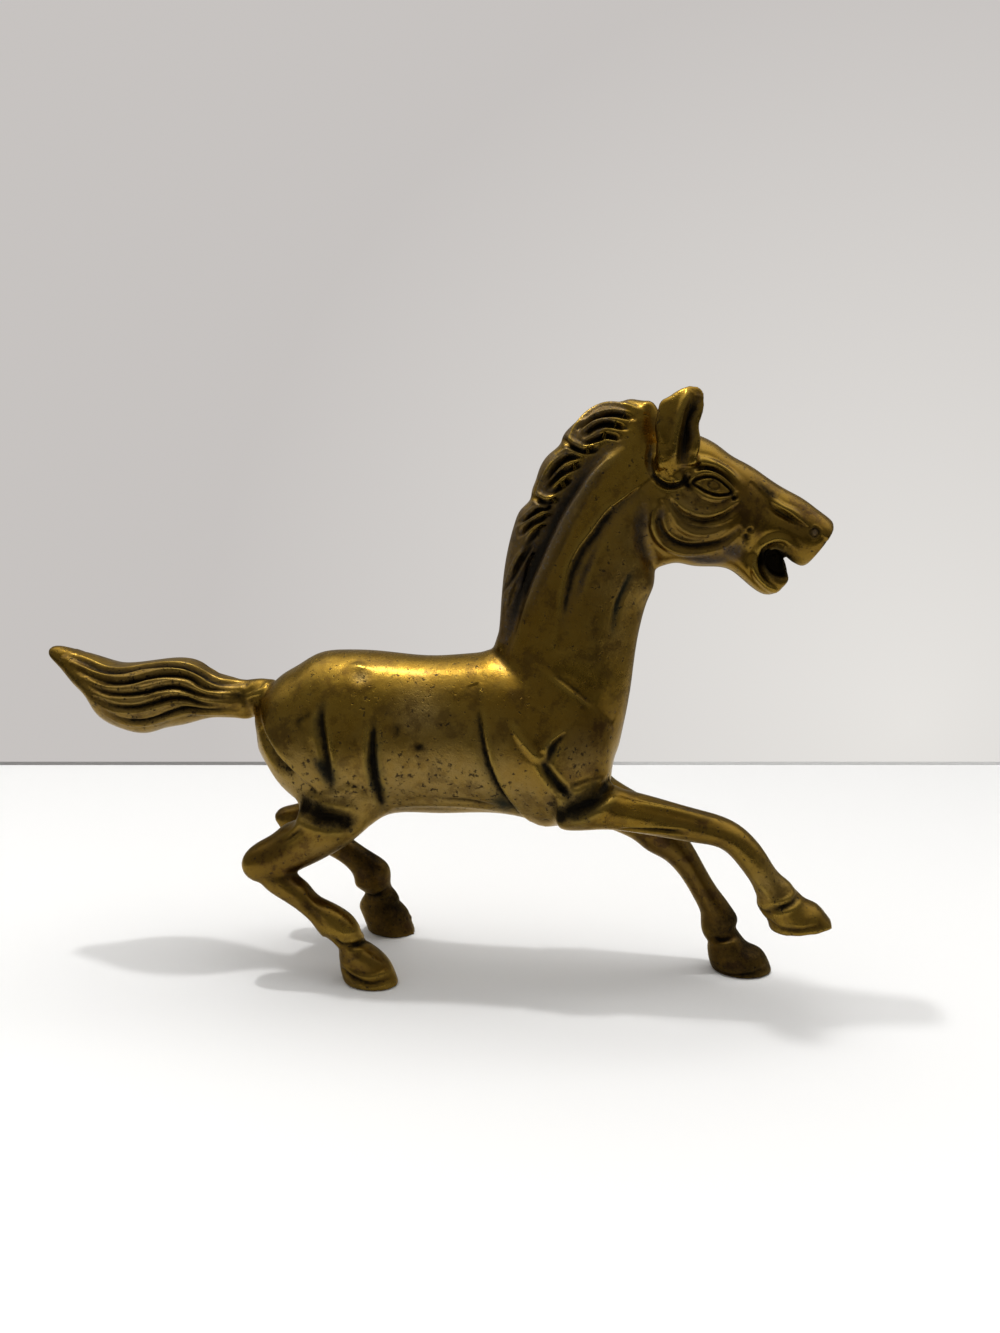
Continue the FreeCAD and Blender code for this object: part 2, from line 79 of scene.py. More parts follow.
# %% Camera at the photograph's place
PHOTO_WIDTH, PHOTO_HEIGHT = 1000, 1333
FOCAL_PIXELS = 1050
CAMERA_PLACE = Vector((72.7, -334.2, 163.7)) * MM
CAMERA_TURN = math.radians(8)
CAMERA_DIP = math.radians(10)
bpy.ops.object.camera_add(
    location=CAMERA_PLACE, rotation=(math.pi / 2 - CAMERA_DIP, 0, CAMERA_TURN))
camera = bpy.context.object
camera.data.lens = FOCAL_PIXELS / PHOTO_HEIGHT * camera.data.sensor_width
camera.data.clip_start = 0.01
bpy.context.scene.camera = camera
bpy.context.view_layer.update()
print("lens %.2f mm" % camera.data.lens)


def sight(pixel):
    """The direction in which the camera sees a pixel of the photograph."""
    across = (pixel[0] - PHOTO_WIDTH / 2) / FOCAL_PIXELS
    upward = (PHOTO_HEIGHT / 2 - pixel[1]) / FOCAL_PIXELS
    return (camera.matrix_world.to_3x3() @ Vector((across, upward, -1))).normalized()


# %% [markdown]
# ## One lump of clay
# Muscles run on from the body into the legs without a step, so the castings are worked as one.
# Copies of the CAD meshes are joined, short plugs close the peg holes, and a voxel remesh turns
# everything into one even skin. A voxel of about half a millimetre keeps the hooves crisp and still
# leaves the pieces light enough.

# %% Copies of the castings, plugs and the tongue of metal in the mouth
VOXEL = 0.6 * MM
PLUGS = [
    ((-23.7, -12.4, 60.0), (-23.7, -12.4, 53.0), 5.2),
    ((-23.7, 12.4, 60.0), (-23.7, 12.4, 53.0), 5.2),
    ((50.0, -12.2, 62.7), (58.5, -12.2, 62.7), 5.2),
    ((51.0, 12.0, 61.5), (58.5, 12.0, 58.0), 5.2),
    ((-46.0, 0.0, 91.0), (-54.5, 0.0, 91.0), 3.6),
    ((80.8, -10.0, 166.0), (80.8, -10.0, 171.5), 2.2),
    ((80.8, 10.0, 166.0), (80.8, 10.0, 171.5), 2.2),
]


def deselect():
    bpy.ops.object.select_all(action="DESELECT")


def activate(piece):
    deselect()
    piece.select_set(True)
    bpy.context.view_layer.objects.active = piece


def wrap(piece):
    """Wraps a piece in one even skin."""
    skin = piece.modifiers.new("skin", "REMESH")
    skin.mode = "VOXEL"
    skin.voxel_size = VOXEL
    bpy.ops.object.modifier_apply(modifier=skin.name)


whole = bmesh.new()
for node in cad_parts.values():
    whole.from_mesh(node.data)
bmesh.ops.remove_doubles(whole, verts=whole.verts[:], dist=0.0001 * MM)
clay_mesh = bpy.data.meshes.new("clay")
whole.to_mesh(clay_mesh)
whole.free()
clay_piece = bpy.data.objects.new("clay", clay_mesh)
bpy.context.scene.collection.objects.link(clay_piece)
parts = [clay_piece]
for start, end, radius in PLUGS:
    line = (Vector(end) - Vector(start)) * MM
    deselect()
    bpy.ops.mesh.primitive_cylinder_add(
        radius=radius * MM, depth=line.length, location=Vector(start) * MM + line / 2,
        rotation=line.to_track_quat("Z", "Y").to_euler())
    parts.append(bpy.context.object)
deselect()
bpy.ops.mesh.primitive_uv_sphere_add(
    location=Vector((108.0, 0, 142.0)) * MM, scale=(11 * MM, 3.5 * MM, 6 * MM))
parts.append(bpy.context.object)
activate(clay_piece)
for part in parts:
    part.select_set(True)
bpy.ops.object.join()
wrap(clay_piece)
print("skin:", len(clay_piece.data.vertices), "points")

# %% [markdown]
# ## Reading and writing many points at once
# A sculptor's brush moves thousands of points in one stroke. Blender hands the points over as one
# array, so a brush is a little arithmetic on the array. Smoothing pulls each point towards the mean
# of its neighbours; done only inside a soft-edged ball, it melts two forms into each other.


# %% The clay: its points, directions and neighbours
def read_array(items, name, width, kind=float):
    values = np.empty(len(items) * width, dtype=np.float32 if kind is float else np.int32)
    items.foreach_get(name, values)
    return values.reshape(-1, width).astype(kind)


class Clay:
    """The skin's points as arrays, with brushes that move them."""

    def __init__(self, piece):
        self.piece = piece
        self.read()

    def read(self):
        mesh = self.piece.data
        self.points = read_array(mesh.vertices, "co", 3)
        self.edges = read_array(mesh.edges, "vertices", 2, int)
        self.write()

    def write(self):
        mesh = self.piece.data
        mesh.vertices.foreach_set("co", self.points.astype(np.float32).ravel())
        mesh.update()
        self.outward = read_array(mesh.vertex_normals, "vector", 3)

    def blur(self, values, steps, share=0.5, chosen=None):
        """Values pulled towards their neighbours' mean, only at the chosen points."""
        edges = self.edges
        if chosen is not None:
            edges = edges[chosen[edges[:, 0]] | chosen[edges[:, 1]]]
        used, edges = np.unique(edges, return_inverse=True)
        edges = edges.reshape(-1, 2)
        first, second = edges[:, 0], edges[:, 1]
        count = np.maximum(np.bincount(edges.ravel(), minlength=len(used)), 1)
        part = values[used]
        flat = part.ndim == 1
        part = part[:, None] if flat else part
        weight = np.full(len(used), share) if np.isscalar(share) else share[used]
        for _ in range(steps):
            for column in range(part.shape[1]):
                line = part[:, column]
                total = np.bincount(first, line[second], len(used))
                total = total + np.bincount(second, line[first], len(used))
                part[:, column] = line + weight * (total / count - line)
        result = values.copy()
        result[used] = part[:, 0] if flat else part
        return result

    def melt(self, centre, radius, steps):
        """Smooths the forms inside a ball, softly at its edge."""
        far = np.linalg.norm(self.points - np.array(centre) * MM, axis=1) / (radius * MM)
        share = 0.5 * np.clip(1.6 * (1 - far), 0, 1)
        self.points = self.blur(self.points, steps, share, share > 0)


clay = Clay(clay_piece)
clay.points = clay.blur(clay.points, 4)
gaps = clay.points[clay.edges[:, 0]] - clay.points[clay.edges[:, 1]]
print("mean step between points %.2f mm" % (np.linalg.norm(gaps, axis=1).mean() / MM))

# %% Muscles melted together where the castings meet
MELTS = [
    ("shoulder", (52, 14, 96), 22, 260),
    ("withers", (32, 0, 106), 9, 60),
    ("chest", (60, 0, 84), 16, 160),
    ("throat", (76, 0, 140), 9, 60),
    ("jaw", (88, 9, 148), 13, 120),
    ("poll", (70, 7, 176), 12, 120),
    ("chin", (100, 7, 142), 9, 80),
    ("ear base", (76, 9, 181), 6.5, 80),
    ("stifle", (-12, 15, 54), 13, 200),
    ("buttock", (-44, 14, 62), 9, 60),
    ("hind tendon", (-50, 18, 41), 6, 30),
    ("elbow", (50, 12, 56), 9, 80),
    ("forearm", (66, 13, 63), 7, 40),
    ("tail root", (-56, 0, 91), 6, 30),
]
for name, (x, y, z), radius, steps in MELTS:
    for side in {y, -y}:
        clay.melt((x, side, z), radius, steps)
clay.write()
print("melted:", ", ".join(melt[0] for melt in MELTS))

# %% [markdown]
# ## Pushing the outline
# The castings follow the photograph to about a millimetre. A last push with a soft thumb closes
# that: each nudge moves the clay near one pixel to another pixel, over a radius in millimetres. It
# acts across the whole width or, where a side is named, in one leg only. The muzzle is filed flat
# across its front.


# %% Nudges
def on_side(pixel, side_y=0.0):
    """Where the line of sight through a pixel crosses a plane along the horse."""
    ray = sight(pixel)
    return CAMERA_PLACE + ray * ((side_y - CAMERA_PLACE.y) / ray.y)


NEAR_HIND, FAR_HIND, NEAR_FORE, FAR_FORE = -20, 20, -12, 11
NUDGES = [
    ("nose corner", 0, (829, 523), (831, 527), 4), ("poll", 0, (654, 414), (653, 404), 4),
    ("nose top", 0, (818, 510), (817, 513), 5), ("jaw underside", 0, (693, 559), (693, 563), 6),
    ("ear top", 0, (695, 385), (694, 387), 4), ("ear front", 0, (706, 428), (698, 428), 4.5),
    ("ear back", 0, (664, 428), (660, 429), 4), ("forehead", 0, (730, 452), (729, 456), 6),
    ("jaw", 0, (732, 571), (732, 568), 5), ("chin", 0, (766, 590), (766, 593), 5),
    ("upper lip", 0, (799, 558), (799, 563), 3.5),
    ("lower lip", 0, (782, 573), (787, 573), 3.5),
    ("throat", 0, (661, 559), (658, 566), 4), ("neck front", 0, (646, 582), (649, 583), 5),
    ("mane back", 0, (532, 485), (536, 485), 5),
    ("mane notch 1", 0, (557, 447), (563, 447), 3.2),
    ("mane notch 2", 0, (525, 499), (530, 500), 3), ("mane foot", 0, (497, 648), (491, 645), 4),
    ("tail tip", 0, (53, 652), (51, 654), 5), ("tail tip top", 0, (63, 650), (61, 647), 5),
    ("tail underside", 0, (86, 701), (91, 697), 6), ("tail belly", 0, (148, 723), (150, 727), 6),
    ("tail top", 0, (215, 668), (214, 672), 5),
    ("tail root top", 0, (262, 682), (262, 680), 6),
    ("tail root below", 0, (248, 713), (248, 716), 3),
    ("croup", 0, (320, 659), (318, 655), 8), ("buttock", 0, (256, 730), (259, 730), 5),
    ("thigh back", NEAR_HIND, (284, 816), (292, 821), 3.5),
    ("hock", NEAR_HIND, (247, 864), (244, 865), 6),
    ("hock hollow", NEAR_HIND, (300, 870), (296, 871), 4),
    ("cannon", NEAR_HIND, (320, 893), (317, 895), 4),
    ("fetlock", NEAR_HIND, (324, 932), (322, 934), 5),
    ("gaskin back", NEAR_HIND, (268, 836), (270, 838), 6),
    ("far hock top", FAR_HIND, (292, 810), (289, 806), 4),
    ("far shin", FAR_HIND, (382, 868), (385, 867), 5),
    ("far shin low", FAR_HIND, (396, 888), (393, 889), 4),
    ("far toe", FAR_HIND, (412, 928), (409, 928), 5), ("belly", 0, (445, 806), (445, 808), 12),
    ("chest front", 0, (618, 730), (620, 730), 12),
    ("far hock", FAR_HIND, (290, 810), (281, 812), 4),
    ("far cannon", FAR_HIND, (366, 882), (360, 884), 4),
    ("far fetlock", FAR_HIND, (366, 908), (361, 908), 4),
    ("far pastern", FAR_HIND, (396, 898), (400, 898), 3),
    ("elbow", 0, (543, 821), (543, 825), 5), ("forearm", NEAR_FORE, (715, 848), (716, 845), 6),
    ("far forearm", FAR_FORE, (650, 846), (648, 849), 5),
    ("lifted cannon", NEAR_FORE, (755, 892), (752, 894), 4),
    ("lifted heel", NEAR_FORE, (764, 913), (768, 912), 3),
    ("lifted toe", NEAR_FORE, (825, 920), (829, 921), 4),
    ("lifted pastern", NEAR_FORE, (802, 893), (800, 898), 3.5),
    ("planted coronet", FAR_FORE, (748, 937), (746, 942), 4),
    ("planted fetlock", FAR_FORE, (704, 920), (701, 921), 3.5),
    ("planted pastern", FAR_FORE, (733, 918), (737, 918), 3),
]
for name, side, start, end, radius in NUDGES:
    here, there = on_side(start, side * MM), on_side(end, side * MM)
    gap = np.hypot(clay.points[:, 0] - here.x, clay.points[:, 2] - here.z) / (radius * MM)
    share = np.exp(-gap ** 2)
    if side:
        share *= clay.points[:, 1] * side > 0
    clay.points[:, 0] += (there.x - here.x) * share
    clay.points[:, 2] += (there.z - here.z) * share

# %% The joint behind the ears, smoothed again
for pixel in [(658, 412), (656, 426), (654, 440)]:
    for side in (-9, 9):
        clay.melt(on_side(pixel, side * MM) / MM, 5, 100)

# %% The muzzle's flat front
low, high = on_side((807, 563)), on_side((832.5, 528))
rise = (high - low).normalized()
front = Vector((rise.z, 0, -rise.x))
proud = (clay.points - np.array(low)) @ np.array(front)
MUZZLE_X, MUZZLE_Z, FILED = 112 * MM, 130 * MM, 0.95
muzzle = (proud > 0) & (clay.points[:, 0] > MUZZLE_X) & (clay.points[:, 2] > MUZZLE_Z)
clay.points[muzzle] -= (FILED * proud[muzzle])[:, None] * np.array(front)

# %% Hooves turned, narrowed and moved
HOOVES = [
    ("near hind", (-14.7, -20.0), -16, (1.0, 0.86), 1.8),
    ("far hind", (-17.2, 20.0), -16, (1.0, 0.86), 2.2),
    ("planted fore", (107.8, 10.0), 0, (1.06, 1.0), -1.2),
]
HOOF_REACH, HOOF_FADE = 15 * MM, 12 * MM
for name, centre, degrees, (along, across), shift in HOOVES:
    away = clay.points[:, :2] - np.array(centre) * MM
    nearby = np.hypot(away[:, 0], away[:, 1]) < HOOF_REACH
    share = nearby * np.clip(1.6 - clay.points[:, 2] / HOOF_FADE, 0, 1)
    turn = math.radians(degrees) * share
    turned_x = (away[:, 0] * np.cos(turn) - away[:, 1] * np.sin(turn)) * (1 + (along - 1) * share)
    turned_y = (away[:, 0] * np.sin(turn) + away[:, 1] * np.cos(turn)) * (1 + (across - 1) * share)
    clay.points[:, 0] += turned_x - away[:, 0]
    clay.points[:, 1] += turned_y - away[:, 1] + shift * MM * share
clay.write()
print(len(NUDGES), "nudges,", len(HOOVES), "hooves")

# %% [markdown]
# ## The open mouth
# The jaws gape, with a black hollow at the corner of the lips and free air between them. Both are
# cut like pastry: an outline seen in the photograph becomes a cutter across the head, and a Boolean
# takes it away. The hollow is cut from each side and leaves a thin wall in the middle.

# %% Cutting the mouth
HOLLOW_OUTLINE = [
    (765, 551), (771, 548), (779, 551), (784, 556), (784, 564), (785, 569), (785, 575),
    (782, 577), (775, 574), (768, 568), (765, 560),
]
GAP_OUTLINE = [
    (780, 552), (787, 557), (794, 563), (803, 567), (812, 568), (840, 577), (840, 600),
    (800, 600), (787, 583), (789, 574), (785, 562),
]
LIPS_Y, GAP_Y = -8.0 * MM, -1.5 * MM


def cut_through(piece, outline, seen_y, low_y, high_y):
    """Takes the prism of an outline, as seen in the plane at seen_y, out of a piece."""
    deselect()
    bpy.ops.mesh.primitive_circle_add(vertices=len(outline), radius=1 * MM, fill_type="NGON")
    cutter = bpy.context.object
    for point, pixel in zip(cutter.data.vertices, outline):
        spot = on_side(pixel, seen_y)
        point.co = (spot.x, low_y * MM, spot.z)
    bpy.ops.object.mode_set(mode="EDIT")
    bpy.ops.mesh.select_all(action="SELECT")
    bpy.ops.mesh.extrude_region_move(
        TRANSFORM_OT_translate=dict(value=(0, (high_y - low_y) * MM, 0)))
    bpy.ops.mesh.select_all(action="SELECT")
    bpy.ops.mesh.normals_make_consistent()
    bpy.ops.object.mode_set(mode="OBJECT")
    activate(piece)
    cut = piece.modifiers.new("cut", "BOOLEAN")
    cut.operation = "DIFFERENCE"
    cut.object = cutter
    bpy.ops.object.modifier_apply(modifier=cut.name)
    bpy.data.objects.remove(cutter)


OUTSIDE, WEB = 30, 1.3
cut_through(clay_piece, HOLLOW_OUTLINE, LIPS_Y, -OUTSIDE, -WEB)
cut_through(clay_piece, HOLLOW_OUTLINE, LIPS_Y, WEB, OUTSIDE)
cut_through(clay_piece, GAP_OUTLINE, GAP_Y, -OUTSIDE, OUTSIDE)
wrap(clay_piece)
clay.read()
clay.points = clay.blur(clay.points, 1)
clay.write()
print("skin with its mouth:", len(clay.points), "points")

# %% [markdown]
# ## More clay where the detail is
# Eyes, lips, locks of mane and the grooves of the tail are finer than the skin's mesh. Subdividing
# the whole horse would be wasteful, so only the faces there are selected and subdivided.


# %% How far each point lies from a CAD piece
def reach(node, margin=3 * MM):
    """Each point's distance from a CAD node, exact within the margin of its box."""
    low, high = (np.array(end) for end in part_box(node))
    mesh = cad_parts[node].data
    tree = BVHTree.FromPolygons([v.co for v in mesh.vertices], [p.vertices for p in mesh.polygons])
    inside = np.all((clay.points > low - margin) & (clay.points < high + margin), axis=1)
    found = np.full(len(clay.points), 1.0)
    for index in np.flatnonzero(inside):
        found[index] = tree.find_nearest(clay.points[index])[3]
    return found


def faces_where(chosen):
    """Selects the faces whose points are all chosen, and goes into edit mode."""
    mesh = clay_piece.data
    corners = read_array(mesh.loops, "vertex_index", 1, int).ravel()
    starts = read_array(mesh.polygons, "loop_start", 1, int).ravel()
    flags = np.minimum.reduceat(chosen[corners].astype(np.int8), starts).astype(bool)
    activate(clay_piece)
    bpy.ops.object.mode_set(mode="EDIT")
    bpy.ops.mesh.select_mode(type="FACE")
    bpy.ops.mesh.select_all(action="DESELECT")
    bpy.ops.object.mode_set(mode="OBJECT")
    mesh.polygons.foreach_set("select", flags)
    bpy.ops.object.mode_set(mode="EDIT")


# %% Finer faces on the head, ears, mane and tail
HEAD_X, HEAD_Z = 62 * MM, 126 * MM
fine = (clay.points[:, 0] > HEAD_X) & (clay.points[:, 2] > HEAD_Z)
for node in ("mane", "left_ear", "right_ear", "tail"):
    fine |= reach(node) < 1.5 * MM
faces_where(fine)
bpy.ops.mesh.subdivide(number_cuts=1)
bpy.ops.object.mode_set(mode="OBJECT")
clay.read()
print("now", len(clay.points), "points")

# %% Which piece each face belongs to
LIMBS = ["mane", "left_ear", "right_ear", "tail", "hind_left_leg", "hind_right_leg",
         "front_left_leg", "front_right_leg"]
shell_reach = np.minimum(reach("left_half_shell"), reach("right_half_shell"))
mesh = clay_piece.data
corners = read_array(mesh.loops, "vertex_index", 1, int).ravel()
starts = read_array(mesh.polygons, "loop_start", 1, int).ravel()
sizes = np.diff(np.append(starts, len(corners)))
label = np.zeros(len(starts), int)
for number, node in enumerate(LIMBS, start=1):
    nearer = clay.blur(np.clip(reach(node) - shell_reach, -2 * MM, 2 * MM), 12)
    label[np.add.reduceat(nearer[corners], starts) / sizes < 0] = number
piece_names = ["body"] + LIMBS
print({name: int((label == number).sum()) for number, name in enumerate(piece_names)})

# %% [markdown]
# ## Brush strokes
# Each muscle edge, fold and lock in the photograph is one stroke, given by a few pixels of the
# photograph. The stroke is bent smoothly through them and dropped along the lines of sight onto the
# clay. A groove sinks, a ridge rises, and a step sinks only on the right of the direction it was
# drawn in, which leaves a crisp edge. The far side gets the same stroke mirrored. Every stroke may
# also leave dirt or verdigris, which the finish uses later; at the leg roots and under the brow
# the dark it leaves is painted shade.

# %% The brush
# The dirt and brown marks also carry painted shade, and the sandy mark a painted reflection.
MARKS = ("dirt", "green", "grey", "worn", "sandy_and_reflection", "brown_and_shade")
marks = {name: np.zeros(len(clay.points)) for name in MARKS}
REACH = 3.2    # of a stroke, in widths, as are the place and width of the rim it throws up
RIM_PLACE, RIM_WIDTH = 1.9, 0.7


def smooth_line(pixels, spacing=1.5, closed=False):
    """Points close together on a curve through a few pixels."""
    if len(pixels) == 1:
        return [pixels[0]]
    pixels = [np.array(p, float) for p in pixels]
    if closed:
        ends = [pixels[-1]] + pixels + [pixels[0], pixels[1]]
    else:
        ends = [2 * pixels[0] - pixels[1]] + pixels + [2 * pixels[-1] - pixels[-2]]
    line = []
    for a, b, c, d in zip(ends, ends[1:], ends[2:], ends[3:]):
        steps = max(2, int(np.linalg.norm(c - b) / spacing))
        for t in np.arange(steps) / steps:
            line.append(0.5 * (2 * b + (c - a) * t + (2 * a - 5 * b + 4 * c - d) * t ** 2
                               + (3 * b - a - 3 * c + d) * t ** 3))
    if not closed:
        line.append(pixels[-1])
    return line


def drop_onto(tree, pixels):
    """Where the lines of sight through some pixels meet the clay, and its directions there."""
    spots, ups = [], []
    for pixel in pixels:
        spot, up, _, _ = tree.ray_cast(CAMERA_PLACE, sight(pixel))
        if spot is None and spots:
            ray = sight(pixel)
            near = CAMERA_PLACE + ray * ((spots[-1] - CAMERA_PLACE).dot(ray))
            spot, up, _, _ = tree.find_nearest(near)
        if spot is not None:
            spots.append(spot)
            ups.append(up)
    return spots, ups


def brush(kind, width, depth, spots, ups, closed=False, **left):
    """One stroke along spots of the clay, width and depth in millimetres."""
    line = np.array(spots)
    up = np.array(ups)
    up = np.array([up[max(0, i - 3):i + 4].mean(axis=0) for i in range(len(up))])
    up /= np.linalg.norm(up, axis=1)[:, None]
    along = np.gradient(line, axis=0) if len(line) > 1 else np.zeros_like(line)
    right = np.cross(along, up)
    right /= np.maximum(np.linalg.norm(right, axis=1), 1e-9)[:, None]
    span = REACH * width * MM
    inside = np.flatnonzero(np.all((clay.points > line.min(axis=0) - span)
                                   & (clay.points < line.max(axis=0) + span), axis=1))
    points = clay.points[inside]
    best = np.full(len(points), 1e9)
    nearest = np.zeros(len(points), int)
    for index, spot in enumerate(line):
        gap = ((points - spot) ** 2).sum(axis=1)
        closer = gap < best
        best[closer] = gap[closer]
        nearest[closer] = index
    facing = (clay.outward[inside] * up[nearest]).sum(axis=1)
    gap = np.sqrt(best) / (width * MM)
    keep = (gap < REACH) & (facing > 0.15)
    inside, points, nearest, gap = inside[keep], points[keep], nearest[keep], gap[keep]
    side = ((points - line[nearest]) * right[nearest]).sum(axis=1) / (width * MM)
    place = nearest / max(len(line) - 1, 1)
    taper = np.sin(np.pi * np.clip(place, 0.02, 0.98)) ** 0.6
    if closed or len(line) == 1:
        taper = np.ones(len(place))
    bell = np.exp(-gap ** 2)
    rim = np.exp(-((gap - RIM_PLACE) / RIM_WIDTH) ** 2)
    if kind == "groove":
        rise = -bell + 0.22 * rim
    elif kind == "ridge":
        rise = bell - 0.18 * rim
    elif kind == "step":
        low = 0.5 + 0.5 * np.tanh(side * width / 0.35)
        rise = -low * np.exp(-(side / 1.2) ** 2) + 0.35 * (1 - low) * np.exp(-(side / 0.9) ** 2)
        bell = bell * low
    else:
        rise = np.zeros(len(gap))
    clay.points[inside] += clay.outward[inside] * (depth * MM * taper * rise)[:, None]
    for name, amount in left.items():
        marks[name][inside] = np.maximum(marks[name][inside], amount * taper * bell ** 1.3)


polygons = [tuple(p.vertices) for p in clay_piece.data.polygons]


def work(strokes):
    """Lays a table of strokes on the near side and, mirrored and turned round, on the far side."""
    tree = BVHTree.FromPolygons(clay.points.tolist(), polygons)
    flip = np.array((1, -1, 1))
    for name, kind, width, depth, left, pixels, *ring in strokes:
        closed = bool(ring)
        spots, ups = drop_onto(tree, smooth_line(pixels, closed=closed))
        if not spots:
            print("missed the clay:", name)
            continue
        brush(kind, width, depth, spots, ups, closed, **left)
        spots, ups = (np.array(items)[::-1] * flip for items in (spots, ups))
        brush(kind, width, depth, spots, ups, closed, **left)
    clay.write()
    print(len(strokes), "strokes")


# %% Neck and shoulder
work([
    ("neck muscle", "step", 3.0, 1.8, dict(dirt=0.55, green=0.2, grey=0.4),
     [(560, 620), (564, 596), (569, 573), (578, 552), (592, 533), (608, 512), (628, 496),
      (642, 485)]),
    ("neck muscle dirt", "groove", 1.0, 0.5, dict(dirt=0.7, grey=0.5),
     [(600, 540), (592, 556), (584, 575), (576, 600)]),
    ("neck groove", "groove", 1.0, 0.6, dict(dirt=0.6, green=1.0),
     [(633, 570), (624, 589), (617, 606), (612, 633)]),
    ("neck tendon", "ridge", 2.4, 0.6, {}, [(622, 548), (610, 580), (603, 610), (599, 648)]),
    ("throat fold", "groove", 2.0, 0.9, dict(dirt=0.6, grey=0.6),
     [(644, 500), (640, 530), (645, 552), (655, 563)]),
    ("shoulder blade", "step", 3.0, 1.0, {}, [(594, 708), (578, 695), (562, 683), (548, 672)]),
    ("shoulder notch", "step", 1.5, 1.2, dict(green=0.3, dirt=0.3),
     [(551, 744), (558, 738), (565, 732)]),
    ("upper arm edge", "ridge", 1.1, 0.7, dict(worn=0.6),
     [(511, 721), (518, 735), (530, 751), (543, 763)]),
    ("arm groove", "groove", 1.3, 2.0, dict(dirt=0.9, green=0.9),
     [(541, 758), (546, 770), (556, 784), (566, 793), (574, 799)]),
    ("notch groove", "groove", 1.0, 1.2, dict(dirt=0.8, green=0.9),
     [(558, 741), (552, 750), (546, 766)]),
    ("notch stain", "none", 1.8, 0.0, dict(dirt=0.8, green=0.6), [(554, 745), (550, 751)]),
    ("shoulder rear", "step", 2.4, 1.8, dict(dirt=0.5, green=0.5),
     [(480, 706), (483, 730), (487, 753), (494, 775), (505, 796), (520, 814), (534, 824)]),
    ("shoulder rear dirt", "groove", 1.1, 0.6, dict(dirt=0.9, green=0.9),
     [(490, 768), (496, 785), (506, 799), (518, 811)]),
    ("elbow corner", "none", 3.4, 0.0, dict(dirt=0.5, green=1.0),
     [(494, 796), (504, 806), (514, 812)]),
    # Painted shade: the crevice where the front leg meets the body is painted near black.
    ("front leg root", "groove", 2.3, 3.2, dict(dirt=1.0, green=0.8),
     [(562, 815), (573, 810), (585, 804), (597, 796), (606, 787)]),
    ("front leg root tip", "groove", 1.3, 1.2, dict(dirt=0.8, green=1.0),
     [(598, 795), (606, 786), (612, 778)]),
    ("front leg dark", "none", 3.8, 0.0, dict(dirt=1.0),
     [(560, 817), (575, 810), (590, 801), (604, 789)]),
    ("front leg dark a", "none", 3.6, 0.0, dict(dirt=1.0), [(559, 817)]),
    ("front leg dark b", "none", 3.2, 0.0, dict(dirt=1.0), [(598, 794)]),
    ("front leg stain", "none", 4.0, 0.0, dict(dirt=0.3, green=0.7),
     [(556, 818), (580, 808), (604, 792), (616, 786)]),
])

# %% Croup, thigh and flank
work([
    ("buttock edge", "step", 2.8, 2.0, dict(dirt=0.5),
     [(262, 722), (266, 735), (275, 752), (286, 765), (297, 775)]),
    ("buttock hollow", "groove", 2.2, 1.0, dict(dirt=0.8),
     [(264, 735), (271, 750), (281, 764), (293, 774)]),
    ("thigh groove", "groove", 1.1, 1.4, dict(dirt=0.9, green=0.5),
     [(322, 702), (321, 722), (324, 746), (328, 768), (331, 790)]),
    ("thigh groove stain", "none", 2.8, 0.0, dict(dirt=0.7, green=0.9),
     [(316, 757), (326, 772), (333, 788)]),
    ("thigh groove top", "none", 2.0, 0.0, dict(dirt=0.5, green=0.5),
     [(322, 700), (319, 722), (322, 745)]),
    ("thigh edge", "ridge", 1.2, 0.5, dict(worn=0.4), [(314, 714), (312, 728), (314, 745)]),
    ("flank crease", "groove", 1.1, 1.8, dict(dirt=1.0, green=0.9),
     [(374, 722), (372, 745), (373, 768), (378, 790), (385, 810)]),
    ("flank stain", "none", 2.2, 0.0, dict(dirt=0.5, green=1.0),
     [(375, 734), (373, 760), (377, 785), (384, 806)]),
    ("flank lip", "ridge", 1.4, 0.6, dict(worn=0.3), [(368, 730), (365, 757), (367, 782)]),
    # Painted shade: the crevice where the hind leg meets the body is painted near black.
    ("hind leg root", "groove", 2.4, 3.2, dict(dirt=1.0, green=0.4),
     [(298, 803), (309, 811), (322, 817), (337, 820), (352, 824)]),
    ("hind leg dark", "none", 4.2, 0.0, dict(dirt=1.0),
     [(298, 804), (310, 811), (325, 818), (348, 824)]),
    ("hind leg dark a", "none", 4.2, 0.0, dict(dirt=1.0), [(304, 806)]),
    ("hind leg dark b", "none", 4.4, 0.0, dict(dirt=1.0), [(316, 812)]),
    ("hind leg dark c", "none", 3.6, 0.0, dict(dirt=1.0), [(345, 823)]),
    ("hind leg stain", "none", 3.4, 0.0, dict(dirt=0.4, green=0.6),
     [(304, 808), (326, 818), (350, 826)]),
    ("hip spot", "none", 2.6, 0.0, dict(sandy_and_reflection=1.0, dirt=0.2), [(361, 677)]),
    ("hip dimple", "groove", 2.2, 0.35, {}, [(361, 677)]),
    ("hip ridge", "ridge", 1.4, 0.3, dict(worn=0.7), [(349, 668), (357, 666), (366, 669)]),
    ("flank blotch", "none", 1.9, 0.0, dict(dirt=0.9), [(416, 743), (422, 752)]),
    ("flank spots", "none", 0.9, 0.0, dict(dirt=0.8), [(392, 722), (398, 730), (393, 741)]),
    ("haunch spots", "none", 1.3, 0.0, dict(dirt=0.6),
     [(300, 706), (310, 713), (298, 722), (306, 735)]),
    ("gaskin slot", "groove", 0.8, 0.8, dict(dirt=0.6), [(282, 843), (291, 836), (302, 828)]),
    ("belly edge", "ridge", 1.6, 0.5, {}, [(388, 806), (430, 804), (470, 806), (500, 811)]),
    ("belly groove", "groove", 0.8, 0.4, dict(dirt=0.7), [(440, 799), (470, 801), (496, 806)]),
])

